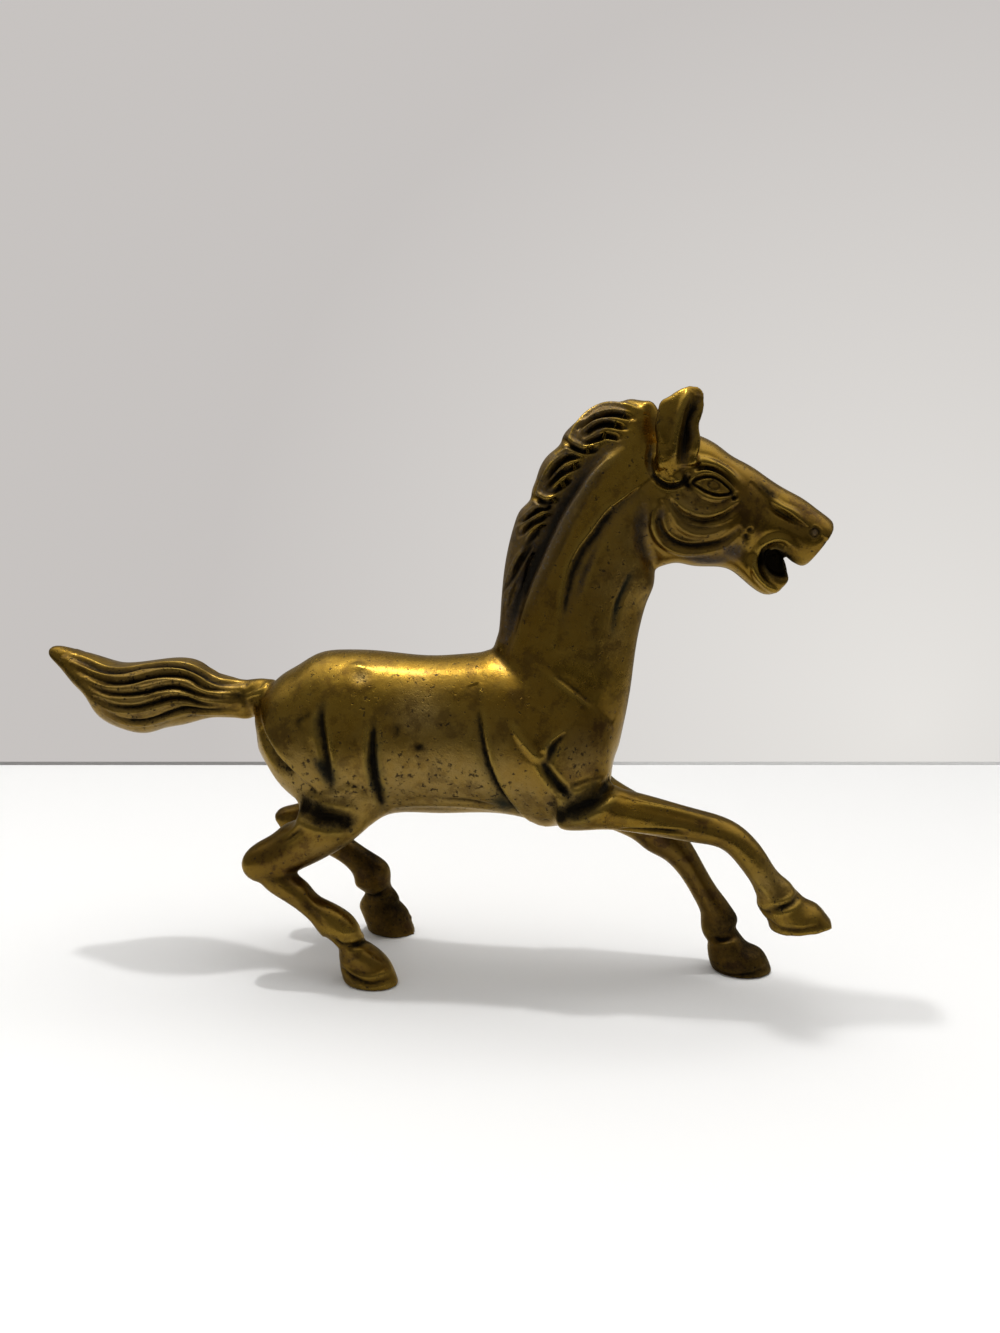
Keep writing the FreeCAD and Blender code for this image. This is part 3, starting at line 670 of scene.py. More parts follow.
# %% Face
work([
    ("brow", "ridge", 1.2, 0.8, dict(worn=0.6),
     [(686, 464), (700, 460), (715, 464), (729, 472), (741, 484)]),
    # Painted shade: the groove under the brow ridge is darkened as the shade below it.
    ("under the brow", "groove", 0.8, 1.0, dict(dirt=0.8),
     [(688, 469), (703, 467), (716, 470), (728, 478), (737, 489)]),
    ("upper lid", "ridge", 0.6, 0.6, dict(worn=0.4),
     [(690, 479), (700, 472), (714, 472), (727, 480), (736, 493)]),
    ("lower lid", "ridge", 0.6, 0.5, dict(worn=0.4),
     [(694, 488), (704, 496), (717, 499.5), (730, 498)]),
    ("eye slit", "groove", 0.5, 0.9, dict(dirt=1.0),
     [(693, 482), (703, 477), (714, 477), (724, 483), (732, 492), (720, 495), (708, 492),
      (699, 487)], "ring"),
    ("iris", "groove", 0.35, 0.3, dict(dirt=0.9),
     [(708, 484), (713, 480.5), (719, 484), (718, 489), (711, 489)], "ring"),
    ("eye corner", "groove", 0.7, 1.0, dict(dirt=1.0), [(738, 496), (731, 500)]),
    ("behind the eye", "groove", 1.3, 1.2, dict(dirt=0.8), [(684, 470), (687, 483), (693, 492)]),
    ("fold under the eye", "ridge", 1.0, 0.8, dict(worn=0.5),
     [(670, 491), (683, 506), (704, 514), (725, 508), (738, 497)]),
    ("fold groove", "groove", 0.8, 1.0, dict(dirt=0.7),
     [(668, 499), (681, 514), (702, 522), (723, 517), (738, 506)]),
    ("cheek crescent", "ridge", 1.0, 0.6, dict(worn=0.2),
     [(671, 513), (679, 526), (693, 534), (712, 534), (728, 527)]),
    ("cheek hollow", "groove", 0.8, 0.6, dict(dirt=0.6),
     [(676, 511), (685, 522), (700, 528), (718, 526)]),
    ("cheek groove", "groove", 0.9, 1.4, dict(dirt=1.0, grey=0.3),
     [(662, 503), (659, 522), (666, 537), (683, 546), (704, 546), (724, 541), (739, 529)]),
    ("cheek slot", "none", 0.9, 0.0, dict(grey=1.0), [(662, 509), (661, 520)]),
    ("cheek rim", "ridge", 0.9, 0.8, dict(worn=0.2),
     [(655, 508), (653, 527), (661, 543), (680, 553), (704, 553), (727, 548)]),
    ("jaw stain", "none", 2.0, 0.0, dict(grey=1.0, dirt=0.5),
     [(684, 556), (700, 560), (716, 561), (730, 556)]),
    ("chin stain", "none", 2.6, 0.0, dict(grey=0.9, dirt=0.3),
     [(722, 552), (734, 552), (740, 545)]),
    ("nose side", "step", 2.2, 1.5, dict(dirt=0.2),
     [(768, 498), (776, 506), (788, 513), (800, 521), (811, 528)]),
    ("nose side crest", "ridge", 1.1, 0.6, dict(worn=0.8),
     [(772, 499), (781, 507), (792, 512), (800, 517)]),
    ("nose pits", "none", 1.8, 0.0, dict(dirt=0.7), [(756, 480), (766, 490), (778, 499)]),
    ("cheek pit", "groove", 0.7, 0.7, dict(dirt=1.0), [(750, 530)]),
    ("corner pit", "groove", 0.9, 0.8, dict(dirt=0.9), [(745, 533), (748, 541)]),
    ("nostril ring", "groove", 0.4, 0.5, dict(dirt=1.0),
     [(815, 528), (819.5, 532.5), (815, 537), (810.5, 532.5)], "ring"),
    ("nostril", "none", 1.0, 0.0, dict(grey=1.0), [(815, 532.5)]),
    ("outer lip", "ridge", 1.0, 1.1, dict(worn=0.5),
     [(796, 549), (783, 539), (769, 540), (758, 549), (754, 564), (759, 578), (770, 589),
      (779, 593)]),
    ("lip groove", "groove", 0.6, 1.0, dict(dirt=1.0),
     [(783, 545), (770, 545), (761, 554), (760, 568), (767, 580), (778, 588)]),
    ("inner lip", "ridge", 0.7, 0.8, dict(worn=0.3, grey=0.3),
     [(786, 553), (775, 547), (766, 552), (763, 563), (769, 574), (780, 580)]),
])

# %% Ears
work([
    ("ear hollow", "groove", 1.9, 3.4, dict(dirt=1.0, grey=0.5),
     [(699, 393), (697, 402), (693, 415), (690, 429), (687, 443), (685, 457), (683, 467)]),
    ("ear rim", "ridge", 0.9, 0.8, dict(worn=0.9),
     [(690, 388), (684, 402), (679, 418), (677, 436), (677, 456)]),
    ("ear body", "ridge", 3.0, 0.9, {}, [(667, 444), (666, 458), (669, 470)]),
    ("ear body mid", "ridge", 2.4, 0.7, {}, [(660, 458), (664, 470), (673, 474)]),
    ("under the ear", "groove", 0.7, 1.2, dict(dirt=1.0, grey=0.5),
     [(649, 462), (654, 477), (667, 486), (681, 484), (690, 473)]),
    ("behind the ear", "groove", 0.8, 0.5, dict(dirt=0.8, grey=0.4),
     [(652, 444), (649, 459), (650, 478)]),
])

# %% Mane
work([
    ("mane channel", "groove", 2.2, 2.4, dict(dirt=0.75, grey=1.0),
     [(618, 444), (603, 452), (586, 467), (572, 488), (558, 509), (546, 533), (535, 558),
      (524, 583), (514, 610), (507, 642)]),
    ("mane crust", "none", 3.0, 0.0, dict(grey=1.0, dirt=0.3),
     [(610, 452), (596, 466), (580, 488), (566, 512), (553, 537), (542, 562), (531, 588),
      (520, 614)]),
    ("neck edge of the mane", "ridge", 1.4, 0.9, dict(worn=0.2),
     [(622, 452), (606, 462), (592, 477), (578, 498), (565, 520), (554, 543), (544, 567),
      (533, 592), (524, 616)]),
    ("lock 1 rim", "ridge", 0.9, 1.1, dict(worn=0.9),
     [(642, 411), (624, 405), (605, 405), (588, 414), (575, 429), (571, 441), (582, 447),
      (596, 443)]),
    ("lock 1 groove a", "groove", 0.75, 2.2, dict(dirt=1.0),
     [(634, 418), (614, 414), (596, 417), (578, 428)]),
    ("lock 1 groove b", "groove", 0.75, 2.2, dict(dirt=1.0),
     [(626, 428), (608, 424), (595, 427), (584, 435)]),
    ("lock 1 groove c", "groove", 0.75, 2.2, dict(dirt=1.0),
     [(620, 438), (606, 436), (593, 441), (584, 446)]),
    ("lock 2 edge", "groove", 0.8, 2.0, dict(dirt=1.0),
     [(552, 434), (562, 438), (572, 446), (584, 451), (598, 449)]),
    ("lock 2 rim", "ridge", 0.9, 1.0, dict(worn=0.8),
     [(588, 454), (568, 450), (554, 461), (544, 478), (539, 493), (549, 499), (562, 493)]),
    ("lock 2 groove a", "groove", 0.75, 2.2, dict(dirt=1.0),
     [(582, 456), (566, 459), (554, 469), (546, 481)]),
    ("lock 2 groove b", "groove", 0.75, 2.2, dict(dirt=1.0),
     [(583, 464), (566, 471), (553, 481), (546, 490)]),
    ("lock 2 groove c", "groove", 0.75, 2.2, dict(dirt=1.0), [(576, 477), (562, 486), (552, 493)]),
    ("lock 3 edge", "groove", 0.8, 2.0, dict(dirt=1.0),
     [(522, 491), (532, 496), (545, 502), (558, 500), (570, 491)]),
    ("lock 3 groove a", "groove", 0.75, 2.2, dict(dirt=1.0), [(560, 505), (538, 511), (520, 523)]),
    ("lock 3 groove b", "groove", 0.75, 2.2, dict(dirt=1.0), [(555, 514), (535, 522), (519, 535)]),
    ("lock 3 groove c", "groove", 0.8, 1.5, dict(dirt=1.0), [(550, 525), (535, 535), (523, 549)]),
    ("lock 3 rim", "ridge", 0.8, 0.9, dict(worn=0.8), [(552, 509), (532, 515), (516, 529)]),
    ("lock 4 edge", "groove", 0.8, 1.6, dict(dirt=1.0),
     [(536, 540), (524, 556), (514, 574), (505, 590)]),
    ("lock 4 groove a", "groove", 0.75, 1.2, dict(dirt=1.0), [(530, 548), (520, 560), (511, 577)]),
    ("lock 4 groove b", "groove", 0.75, 1.0, dict(dirt=0.9), [(524, 575), (515, 590), (507, 608)]),
])

# %% Tail
work([
    ("tail groove a", "groove", 1.1, 1.7, dict(dirt=1.0, grey=0.5),
     [(65, 655), (84, 662), (104, 670), (124, 671), (144, 667), (166, 665), (186, 667), (204, 675),
      (220, 683), (246, 684)]),
    ("tail groove b", "groove", 1.0, 1.6, dict(dirt=1.0),
     [(72, 667), (90, 676), (110, 682), (130, 681), (150, 676), (170, 674), (190, 677), (208, 688),
      (238, 690)]),
    ("tail groove c", "groove", 0.9, 1.6, dict(dirt=1.0),
     [(84, 681), (100, 691), (122, 694), (144, 692), (160, 688), (178, 687), (198, 694), (218, 698),
      (234, 697)]),
    ("tail groove d", "groove", 0.9, 1.6, dict(dirt=1.0),
     [(96, 698), (112, 706), (134, 708), (152, 704), (170, 699), (186, 699), (204, 705),
      (224, 706)]),
    ("tail groove e", "groove", 1.0, 1.5, dict(dirt=1.0),
     [(108, 713), (122, 720), (140, 722), (156, 719), (172, 713), (188, 709), (210, 711),
      (238, 709)]),
    ("tail knot", "ridge", 3.6, 0.8, dict(worn=0.9), [(255, 690), (256, 697)]),
    ("tail tip", "ridge", 3.4, 0.5, {}, [(62, 655), (70, 660)]),
    ("tail root dirt", "none", 2.0, 0.0, dict(dirt=0.6), [(226, 696), (240, 696), (246, 708)]),
    ("tail root groove", "groove", 0.8, 0.3, dict(dirt=0.5), [(246, 681), (243, 696), (248, 712)]),
])

# %% Legs
work([
    ("forearm slit", "groove", 0.7, 1.1, dict(dirt=1.0),
     [(622, 829), (640, 830), (662, 831), (686, 833)]),
    ("knee edge", "ridge", 1.2, 0.5, dict(worn=0.4), [(630, 800), (680, 811), (722, 822)]),
    ("lifted coronet", "groove", 0.9, 1.1, dict(dirt=0.8, green=0.3),
     [(766, 910), (778, 909), (792, 903), (800, 893)]),
    ("lifted fetlock", "groove", 1.0, 1.0, dict(dirt=0.5), [(758, 908), (765, 913), (773, 913)]),
    ("lifted sole line", "groove", 0.6, 0.5, dict(dirt=0.8),
     [(768, 918), (780, 928), (800, 930), (820, 925)]),
    ("lifted cannon edge", "ridge", 1.0, 0.4, dict(worn=0.5), [(752, 876), (766, 893), (772, 902)]),
    ("hind coronet", "groove", 0.9, 1.1, dict(dirt=0.8),
     [(338, 943), (350, 946), (362, 943), (372, 936)]),
    ("hind fetlock", "groove", 1.0, 0.9, dict(dirt=0.5), [(334, 938), (340, 945), (347, 949)]),
    ("hind sole line", "groove", 0.6, 0.8, dict(dirt=1.0),
     [(341, 967), (354, 978), (371, 984), (393, 977)]),
    ("hind sole lip", "ridge", 0.7, 0.5, dict(worn=0.5),
     [(341, 963), (354, 973), (371, 977), (392, 970)]),
    ("cannon groove", "groove", 1.2, 0.5, dict(dirt=0.5), [(300, 900), (312, 913), (324, 924)]),
    ("hock dirt", "none", 2.4, 0.0, dict(dirt=0.4), [(262, 876), (278, 880), (290, 878)]),
    ("planted coronet", "groove", 0.9, 1.0, dict(dirt=1.0), [(711, 938), (722, 940), (736, 936)]),
    ("planted sole line", "groove", 0.6, 0.6, dict(dirt=1.0),
     [(712, 968), (730, 975), (750, 974), (768, 966)]),
    ("far hind coronet", "groove", 0.8, 0.8, dict(dirt=1.0), [(366, 894), (376, 896), (388, 889)]),
])

# %% [markdown]
# ## Stains
# The metal isn't one colour. Brown skin lies where hands and cloths seldom go, and the lower body,
# the cheek and the front of the neck are sandier and paler; on the lower body that paleness is
# partly a painted reflection of the white table. The far legs are painted nearly black as painted
# shade. A stain is a soft ball of colour round one spot, laid on both sides alike or on one leg
# only.


# %% Stains
def stain(name, centre, radius, amount, side=0):
    """Marks the clay round a place given in millimetres."""
    gap = clay.points - np.array(centre) * MM
    if not side:
        gap[:, 1] = np.abs(clay.points[:, 1]) - abs(centre[1] * MM)
    share = amount * np.exp(-(gap ** 2).sum(axis=1) / (radius * MM) ** 2)
    marks[name] = np.maximum(marks[name], share)


# Paler sandy patches: a grainy sandy finish and, on the lower body, a painted reflection of the
# white table.
SANDY_AND_REFLECTION = [
    ((300, 780), 13), ((345, 790), 12), ((400, 790), 16), ((440, 785), 18), ((480, 780), 14),
    ((520, 795), 9), ((560, 800), 8), ((578, 757), 7), ((650, 545), 10), ((640, 590), 12),
    ((632, 640), 9), ((150, 700), 22), ((700, 528), 6), ((690, 515), 8), ((700, 545), 9),
    ((330, 860), 8), ((420, 715), 8), ((770, 880), 7),
]
BROWNED = [
    ((560, 600), -14, 20, 0.3), ((535, 690), -20, 16, 0.25), ((290, 740), -22, 12, 0.2),
    ((745, 495), -9, 12, 0.8), ((805, 520), -6, 10, 0.8), ((600, 735), -16, 12, 0.7),
    ((700, 530), -12, 14, 0.45), ((680, 430), -12, 10, 0.4), ((150, 695), 0, 30, 0.4),
    ((275, 850), -20, 14, 0.9), ((310, 900), -20, 13, 0.9), ((700, 815), -12, 16, 0.9),
    ((745, 860), -12, 11, 0.7), ((800, 915), -12, 11, 1.2), ((365, 960), -20, 12, 0.9),
]
# Painted shade: the far legs stand in the body's shadow and are stained near black.
FAR_LEGS_SHADE = [
    ("brown_and_shade", (108, 11, 5), 20, 1.6), ("brown_and_shade", (98, 11, 26), 16, 1.6),
    ("brown_and_shade", (84, 12, 42), 14, 1.6), ("brown_and_shade", (-16, 20, 8), 20, 1.6),
    ("brown_and_shade", (-22, 20, 30), 18, 1.6), ("brown_and_shade", (-34, 18, 48), 16, 1.6),
    ("dirt", (108, 11, 4), 12, 0.85), ("dirt", (103, 11, 16), 9, 0.8),
    ("dirt", (-16, 20, 12), 10, 0.65), ("dirt", (-24, 20, 30), 9, 0.65),
    ("dirt", (-34, 18, 46), 9, 0.4),
]
FLANK_Y = -18 * MM
for pixel, radius in SANDY_AND_REFLECTION:
    stain("sandy_and_reflection", on_side(pixel, FLANK_Y) / MM, radius, 1.0)
for pixel, depth, radius, amount in BROWNED:
    stain("brown_and_shade", on_side(pixel, depth * MM) / MM, radius, amount)
for name, centre, radius, amount in FAR_LEGS_SHADE:
    stain(name, centre, radius, amount, side=1)
# Painted shade on the far hock; dirt on the lifted hoof.
shaded_far_hock, lifted_hoof = on_side((290, 812), 20 * MM) / MM, on_side((800, 915), -12 * MM) / MM
stain("brown_and_shade", shaded_far_hock, 8, 1.6, side=1)
stain("dirt", lifted_hoof, 9, 0.3)
dusty = reach("mane") < 0.8 * MM
marks["grey"] += 0.45 * dusty
marks["dirt"] += 0.24 * dusty
# The inside of the mouth is darkened to near black.
mouth = on_side((776, 563), LIPS_Y) / MM
stain("dirt", (mouth.x, 2.5, mouth.z), 4.6, 3.0)
for name in marks:
    marks[name] = np.clip(marks[name], 0, 1)
print("sandy over %.0f%% of the points" % (100 * (marks["sandy_and_reflection"] > 0.3).mean()))

# %% [markdown]
# ## Dirt and painted shade in the hollows, polish on the ridges
# Hands and cloths polish what stands out and never reach what lies deep. The curve of the skin
# tells one from the other: a point that lies below the mean of its neighbours is in a hollow.
# Blurred to a few widths, that gives a map of dirt and painted shade, and a map of wear. Behind the
# ears the joint is left out of the darkening.

# %% Hollows and ridges
SPARE = 0.05 * MM
lowest = np.array(cad_low) + SPARE * np.array((1, 1, 0))
clay.points = np.clip(clay.points, lowest, np.array(cad_high) - SPARE)
clay.write()
lift = clay.blur(clay.points, 6) - clay.points
curve = (lift * clay.outward).sum(axis=1) / MM
curve = clay.blur(curve, 3)
print("curve from %.2f to %.2f mm" % (np.percentile(curve, 1), np.percentile(curve, 99)))
EAR_JOINT, JOINT_RADIUS = np.array((75, 9, 182)) * MM, 7 * MM
ear_joint_spared = 1 - np.exp(-(((np.abs(clay.points) - EAR_JOINT) / JOINT_RADIUS) ** 2).sum(axis=1))
# Darkening in the hollows: partly dirt, partly painted shade.
hollow = np.clip((curve - 0.03) / 0.12, 0, 0.8) * ear_joint_spared
marks["dirt"] = np.clip(np.maximum(marks["dirt"], hollow), 0, 1)
marks["worn"] = np.clip(marks["worn"] + np.clip((-curve - 0.02) / 0.08, 0, 1), 0, 1)
clay_piece.data.attributes.new("facing", "FLOAT_VECTOR", "POINT").data.foreach_set(
    "vector", clay.outward.astype(np.float32).ravel())
for name, values in marks.items():
    attribute = clay_piece.data.attributes.new(name, "FLOAT", "POINT")
    attribute.data.foreach_set("value", clay.blur(values, 2).astype(np.float32))

# %% [markdown]
# ## Apart again
# The clay is cut along the joints of the castings: faces carry the number of their piece, one
# operator parts them, and the open ends are closed inside the metal, where they don't show. The
# body is then cut along its middle into two halves with a thin line of braze between them.


# %% Limbs off the body
def edit(piece):
    activate(piece)
    bpy.ops.object.mode_set(mode="EDIT")
    bpy.ops.mesh.select_mode(type="VERT")
    bpy.ops.mesh.select_all(action="SELECT")


def close_ends(piece, depth):
    """Closes a piece's open ends, each with a shallow cone; depth is a share of its radius."""
    edit(piece)
    bpy.ops.mesh.select_all(action="DESELECT")
    bpy.ops.mesh.select_non_manifold()
    bpy.ops.mesh.fill_holes(sides=0)
    print("%d ends closed on %s" % (piece.data.total_face_sel, piece.name))
    bpy.ops.mesh.poke(offset=depth, use_relative_offset=True)
    bpy.ops.mesh.faces_shade_flat()
    bpy.ops.object.mode_set(mode="OBJECT")


for name in piece_names:
    clay_piece.data.materials.append(bpy.data.materials.new(name))
clay_piece.data.polygons.foreach_set("material_index", label.astype(np.int32))
clay_piece.data.polygons.foreach_set("use_smooth", np.ones(len(label), bool))
edit(clay_piece)
bpy.ops.mesh.separate(type="MATERIAL")
bpy.ops.object.mode_set(mode="OBJECT")
CONE_DEPTH = 0.35    # of the end's radius
cast = {}
for piece in [o for o in bpy.context.selected_objects if o.type == "MESH" and len(o.data.polygons)]:
    cast[piece.data.materials[piece.data.polygons[0].material_index].name] = piece
for name, piece in cast.items():
    close_ends(piece, -CONE_DEPTH if name == "body" else CONE_DEPTH)
print({name: len(piece.data.polygons) for name, piece in cast.items()})

# %% Two halves and the braze between them
SEAM_HALF = 0.2 * MM
body = cast.pop("body")
for name in ("left_body", "right_body", "seam"):
    piece = bpy.data.objects.new(name, body.data.copy())
    bpy.context.scene.collection.objects.link(piece)
    edit(piece)
    for side in {"left_body": (1,), "right_body": (-1,), "seam": (1, -1)}[name]:
        bpy.ops.mesh.select_all(action="SELECT")
        bpy.ops.mesh.bisect(plane_co=(0, side * SEAM_HALF, 0), plane_no=(0, side, 0),
                            clear_outer=name == "seam", clear_inner=name != "seam")
    bpy.ops.mesh.select_all(action="DESELECT")
    bpy.ops.mesh.select_non_manifold()
    bpy.ops.mesh.fill_holes(sides=0)
    bpy.ops.mesh.faces_shade_flat()
    bpy.ops.object.mode_set(mode="OBJECT")
    cast[name] = piece
bpy.data.objects.remove(body)

# %% What each piece stands for
STANDS_FOR = {
    "right_body": ["right_half_shell"],
    "left_body": ["left_half_shell"],
    "seam": ["seam_braze"],
    "mane": ["mane", "mane_braze"],
    "left_ear": ["left_ear", "left_ear_braze"],
    "right_ear": ["right_ear", "right_ear_braze"],
    "tail": ["tail", "tail_braze"],
    "hind_left_leg": ["hind_left_leg", "hind_left_braze"],
    "hind_right_leg": ["hind_right_leg", "hind_right_braze"],
    "front_left_leg": ["front_left_leg", "front_left_braze"],
    "front_right_leg": ["front_right_leg", "front_right_braze"],
}
for name, piece in cast.items():
    facing = np.empty(len(piece.data.vertices) * 3, np.float32)
    piece.data.attributes["facing"].data.foreach_get("vector", facing)
    piece.data.normals_split_custom_set_from_vertices(facing.reshape(-1, 3).tolist())
    piece.data.materials.clear()
    piece.name = "cast_" + name
    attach(piece, "root")
    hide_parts(*STANDS_FOR[name])
    "braze" if name == "seam" else "aged_brass"
    shape = bmesh.new()
    shape.from_mesh(piece.data)
    open_edges = sum(not edge.is_manifold for edge in shape.edges)
    volume = shape.calc_volume() / MM ** 3 / 1000
    print("%s: %d faces, %.1f cm3, %d open edges" % (name, len(shape.faces), volume, open_edges))
    shape.free()

# %% [markdown]
# ## The finish
# Shader nodes are arithmetic on sockets. A small class lets that be written as Python sums, and one
# method adds any other node.


# %% Sums of sockets
class Amount:
    """A number that varies over a surface. Arithmetic on it adds Math nodes."""

    def __init__(self, finish, socket):
        self.finish = finish
        self.socket = socket

    def math(self, operation, first, second=None, clamp=False):
        values = {0: first} if second is None else {0: first, 1: second}
        node = self.finish.add("ShaderNodeMath", dict(operation=operation, use_clamp=clamp), values)
        return Amount(self.finish, node.outputs[0])

    def __add__(self, other):
        return self.math("ADD", self, other)

    def __sub__(self, other):
        return self.math("SUBTRACT", self, other)

    def __mul__(self, other):
        return self.math("MULTIPLY", self, other)

    def __rsub__(self, other):
        return self.math("SUBTRACT", other, self)

    __radd__ = __add__
    __rmul__ = __mul__

    def clamped(self):
        return self.math("ADD", self, 0.0, clamp=True)

    def above(self, edge, blend):
        """From 0 to 1 as the amount passes an edge, over a blend as wide as given."""
        return self.math("MULTIPLY", self - (edge - blend / 2), 1 / blend, clamp=True)


class Finish:
    """The nodes of a material or a world."""

    def __init__(self, owner):
        self.owner = owner
        owner.use_nodes = True
        self.tree = owner.node_tree
        self.tree.nodes.clear()

    def add(self, kind, settings, values):
        node = self.tree.nodes.new(kind)
        for name, value in settings.items():
            setattr(node, name, value)
        for key, value in values.items():
            socket = node.inputs[key]
            value = value.socket if isinstance(value, Amount) else value
            if isinstance(value, bpy.types.NodeSocket):
                self.tree.links.new(value, socket)
            else:
                socket.default_value = value
        return node

    def place(self, kind="Object"):
        return self.add("ShaderNodeTexCoord", {}, {}).outputs[kind]

    def noise(self, size, detail=4.0, rough=0.55):
        """Cloudy noise, its lumps about size metres across."""
        node = self.add("ShaderNodeTexNoise", {}, {
            "Vector": self.place(), "Scale": 1 / size, "Detail": detail, "Roughness": rough})
        return Amount(self, node.outputs[0])

    def mark(self, name):
        node = self.add("ShaderNodeAttribute", dict(attribute_name=name), {})
        return Amount(self, node.outputs["Fac"])

    def seen(self):
        """1 for what the camera sees itself, 0 for reflections and bounced light."""
        return Amount(self, self.add("ShaderNodeLightPath", {}, {}).outputs["Is Camera Ray"])

    def mix(self, first, second, share):
        node = self.add("ShaderNodeMix", dict(data_type="RGBA"), {0: share, 6: first, 7: second})
        return node.outputs[2]

    def surface(self, **sockets):
        values = {key.replace("_", " "): value for key, value in sockets.items()}
        return self.add("ShaderNodeBsdfPrincipled", {}, values).outputs[0]

    def end(self, shader, kind="ShaderNodeOutputMaterial"):
        self.add(kind, {}, {0: shader})
        return self.owner


# %% [markdown]
# Aged brass is a warm yellow metal under a thin brown skin. The skin comes and goes in clouds a few
# centimetres wide, small pits and specks sit in it, and the hollows hold black grime, green
# verdigris and the grey-purple scale of old flux. The black and the brown also paint shade into
# the crevices and onto the far legs. Metal gives way to matte dirt and painted shade there, so the
# metallic and roughness values follow the same maps as the colour.

# %% Aged brass
# Sandy colour, partly a painted reflection of the white table on the lower body.
SAND_AND_REFLECTION = (0.30, 0.205, 0.066, 1)
# Brown tarnish, also used as painted shade on the far legs.
TARNISH_AND_SHADE = (0.055, 0.026, 0.006, 1)
BROWN = (0.030, 0.019, 0.008, 1)
# Near black: grime, and painted shade in crevices and on the far legs.
GRIME_AND_SHADE = (0.007, 0.006, 0.005, 1)
VERDIGRIS = (0.012, 0.032, 0.025, 1)
SCALE_GREY = (0.115, 0.090, 0.085, 1)
PALE_CRUST = (0.30, 0.28, 0.27, 1)
EDGE_GOLD = (0.95, 0.84, 0.62, 1)
BUMP_HEIGHT = 0.18 * MM


def aged(name, light, deep, rough, tarnished=0.0):
    """A brass alloy, aged; light and deep are the colours it wanders between."""
    brass = Finish(bpy.data.materials.new(name))
    clouds = brass.noise(26 * MM, 5, 0.6)
    fine_clouds = brass.noise(3.5 * MM, 6, 0.68)
    grain = brass.noise(0.6 * MM, 3, 0.6)
    crust = brass.noise(1.1 * MM, 4, 0.7)
    smudges = brass.noise(8 * MM, 6, 0.72).above(0.55, 0.10)
    swell = brass.noise(9 * MM, 2, 0.5)
    # Sandy tone and grain, partly a painted reflection of the white table on the lower body.
    sandy_and_reflection = (brass.mark("sandy_and_reflection") * (0.1 + 1.5 * fine_clouds)).clamped()
    specks = (brass.noise(1.7 * MM, 3, 0.6) + sandy_and_reflection * 0.06).above(0.66, 0.07)
    blots = (brass.noise(7 * MM, 5, 0.7) + sandy_and_reflection * 0.04).above(0.68, 0.06)
    # The dirt mark: grime, and painted shade at the leg roots, under the brow, in hollows and on
    # the far legs.
    layer = brass.mark("dirt")
    patchy = (layer * 1.4 + crust + fine_clouds).above(1.55, 0.8)
    dirt = (patchy * 0.55 + layer * (0.35 + 0.5 * fine_clouds)).clamped()
    green = (brass.mark("green") * (0.2 + 1.6 * fine_clouds)).clamped()
    grey = (brass.mark("grey") * (0.1 + 1.5 * crust)).clamped()
    # Brown tarnish, and painted shade on the far legs.
    brown_and_shade = (brass.mark("brown_and_shade") * (0.5 + 0.8 * fine_clouds) + tarnished).clamped()
    worn = brass.mark("worn") * (1 - brown_and_shade * 0.7)
    wander = clouds.above(0.52, 0.5) * 0.45 + fine_clouds.above(0.55, 0.4) * 0.3
    tone = brass.mix(deep, light, wander)
    tone = brass.mix(tone, SAND_AND_REFLECTION, sandy_and_reflection * 0.8)
    tone = brass.mix(tone, TARNISH_AND_SHADE, (brown_and_shade * 0.75 + smudges * 0.45).clamped())
    tone = brass.mix(tone, light, worn * 0.55)
    tone = brass.mix(tone, BROWN, (specks * 0.85 + blots * 0.8).clamped())
    tone = brass.mix(tone, SCALE_GREY, grey * 0.75)
    tone = brass.mix(tone, PALE_CRUST, (grey * crust.above(0.62, 0.08) * 0.8).clamped())
    tone = brass.mix(tone, VERDIGRIS, green * 0.85)
    tone = brass.mix(tone, GRIME_AND_SHADE, dirt * 0.95)
    cover = (dirt * 0.85 + green * 0.7 + grey * 0.5 + specks * 0.4 + blots * 0.4).clamped()
    height = (swell * 2.2 + grain * 0.2 + fine_clouds * 0.6 - specks * 0.9 - blots * 0.5
              + sandy_and_reflection * grain * 1.5 + cover * crust * 1.8)
    bump = brass.add("ShaderNodeBump", {}, {
        "Strength": 0.7, "Distance": BUMP_HEIGHT, "Height": height})
    return brass.end(brass.surface(
        Base_Color=tone, Metallic=1 - grey * 0.6 - green * 0.2, Specular_Tint=EDGE_GOLD,
        Coat_Weight=0.11 - dirt * 0.11, Coat_Roughness=0.25, Normal=bump.outputs[0],
        Roughness=(rough + 0.10 * fine_clouds + sandy_and_reflection * 0.16 + cover * 0.40 + brown_and_shade * 0.08
                   - worn * 0.05)))


brass = aged("aged_brass_finish", (0.30, 0.195, 0.030, 1), (0.175, 0.090, 0.004, 1), 0.22)
braze = aged("braze_finish", (0.22, 0.14, 0.026, 1), (0.13, 0.070, 0.006, 1), 0.36, tarnished=0.25)
for name, piece in cast.items():
    piece.data.materials.append(braze if name == "seam" else brass)
print("finishes:", brass.name, "with", len(brass.node_tree.nodes), "nodes, and", braze.name)

# %% [markdown]
# ## Table, wall and light
# The horse stands on a white table in front of a pale wall, under a wide soft ceiling light and one
# small lamp that throws its shadow. The table's far edge crosses the photograph at three fifths of
# its height. A polished metal shows its surroundings, so what lies behind the camera matters: the
# reflections see only the near part of the table as white, and darkness beyond it, as in the
# photographer's room. The camera itself sees the wall as pale as the photograph does.

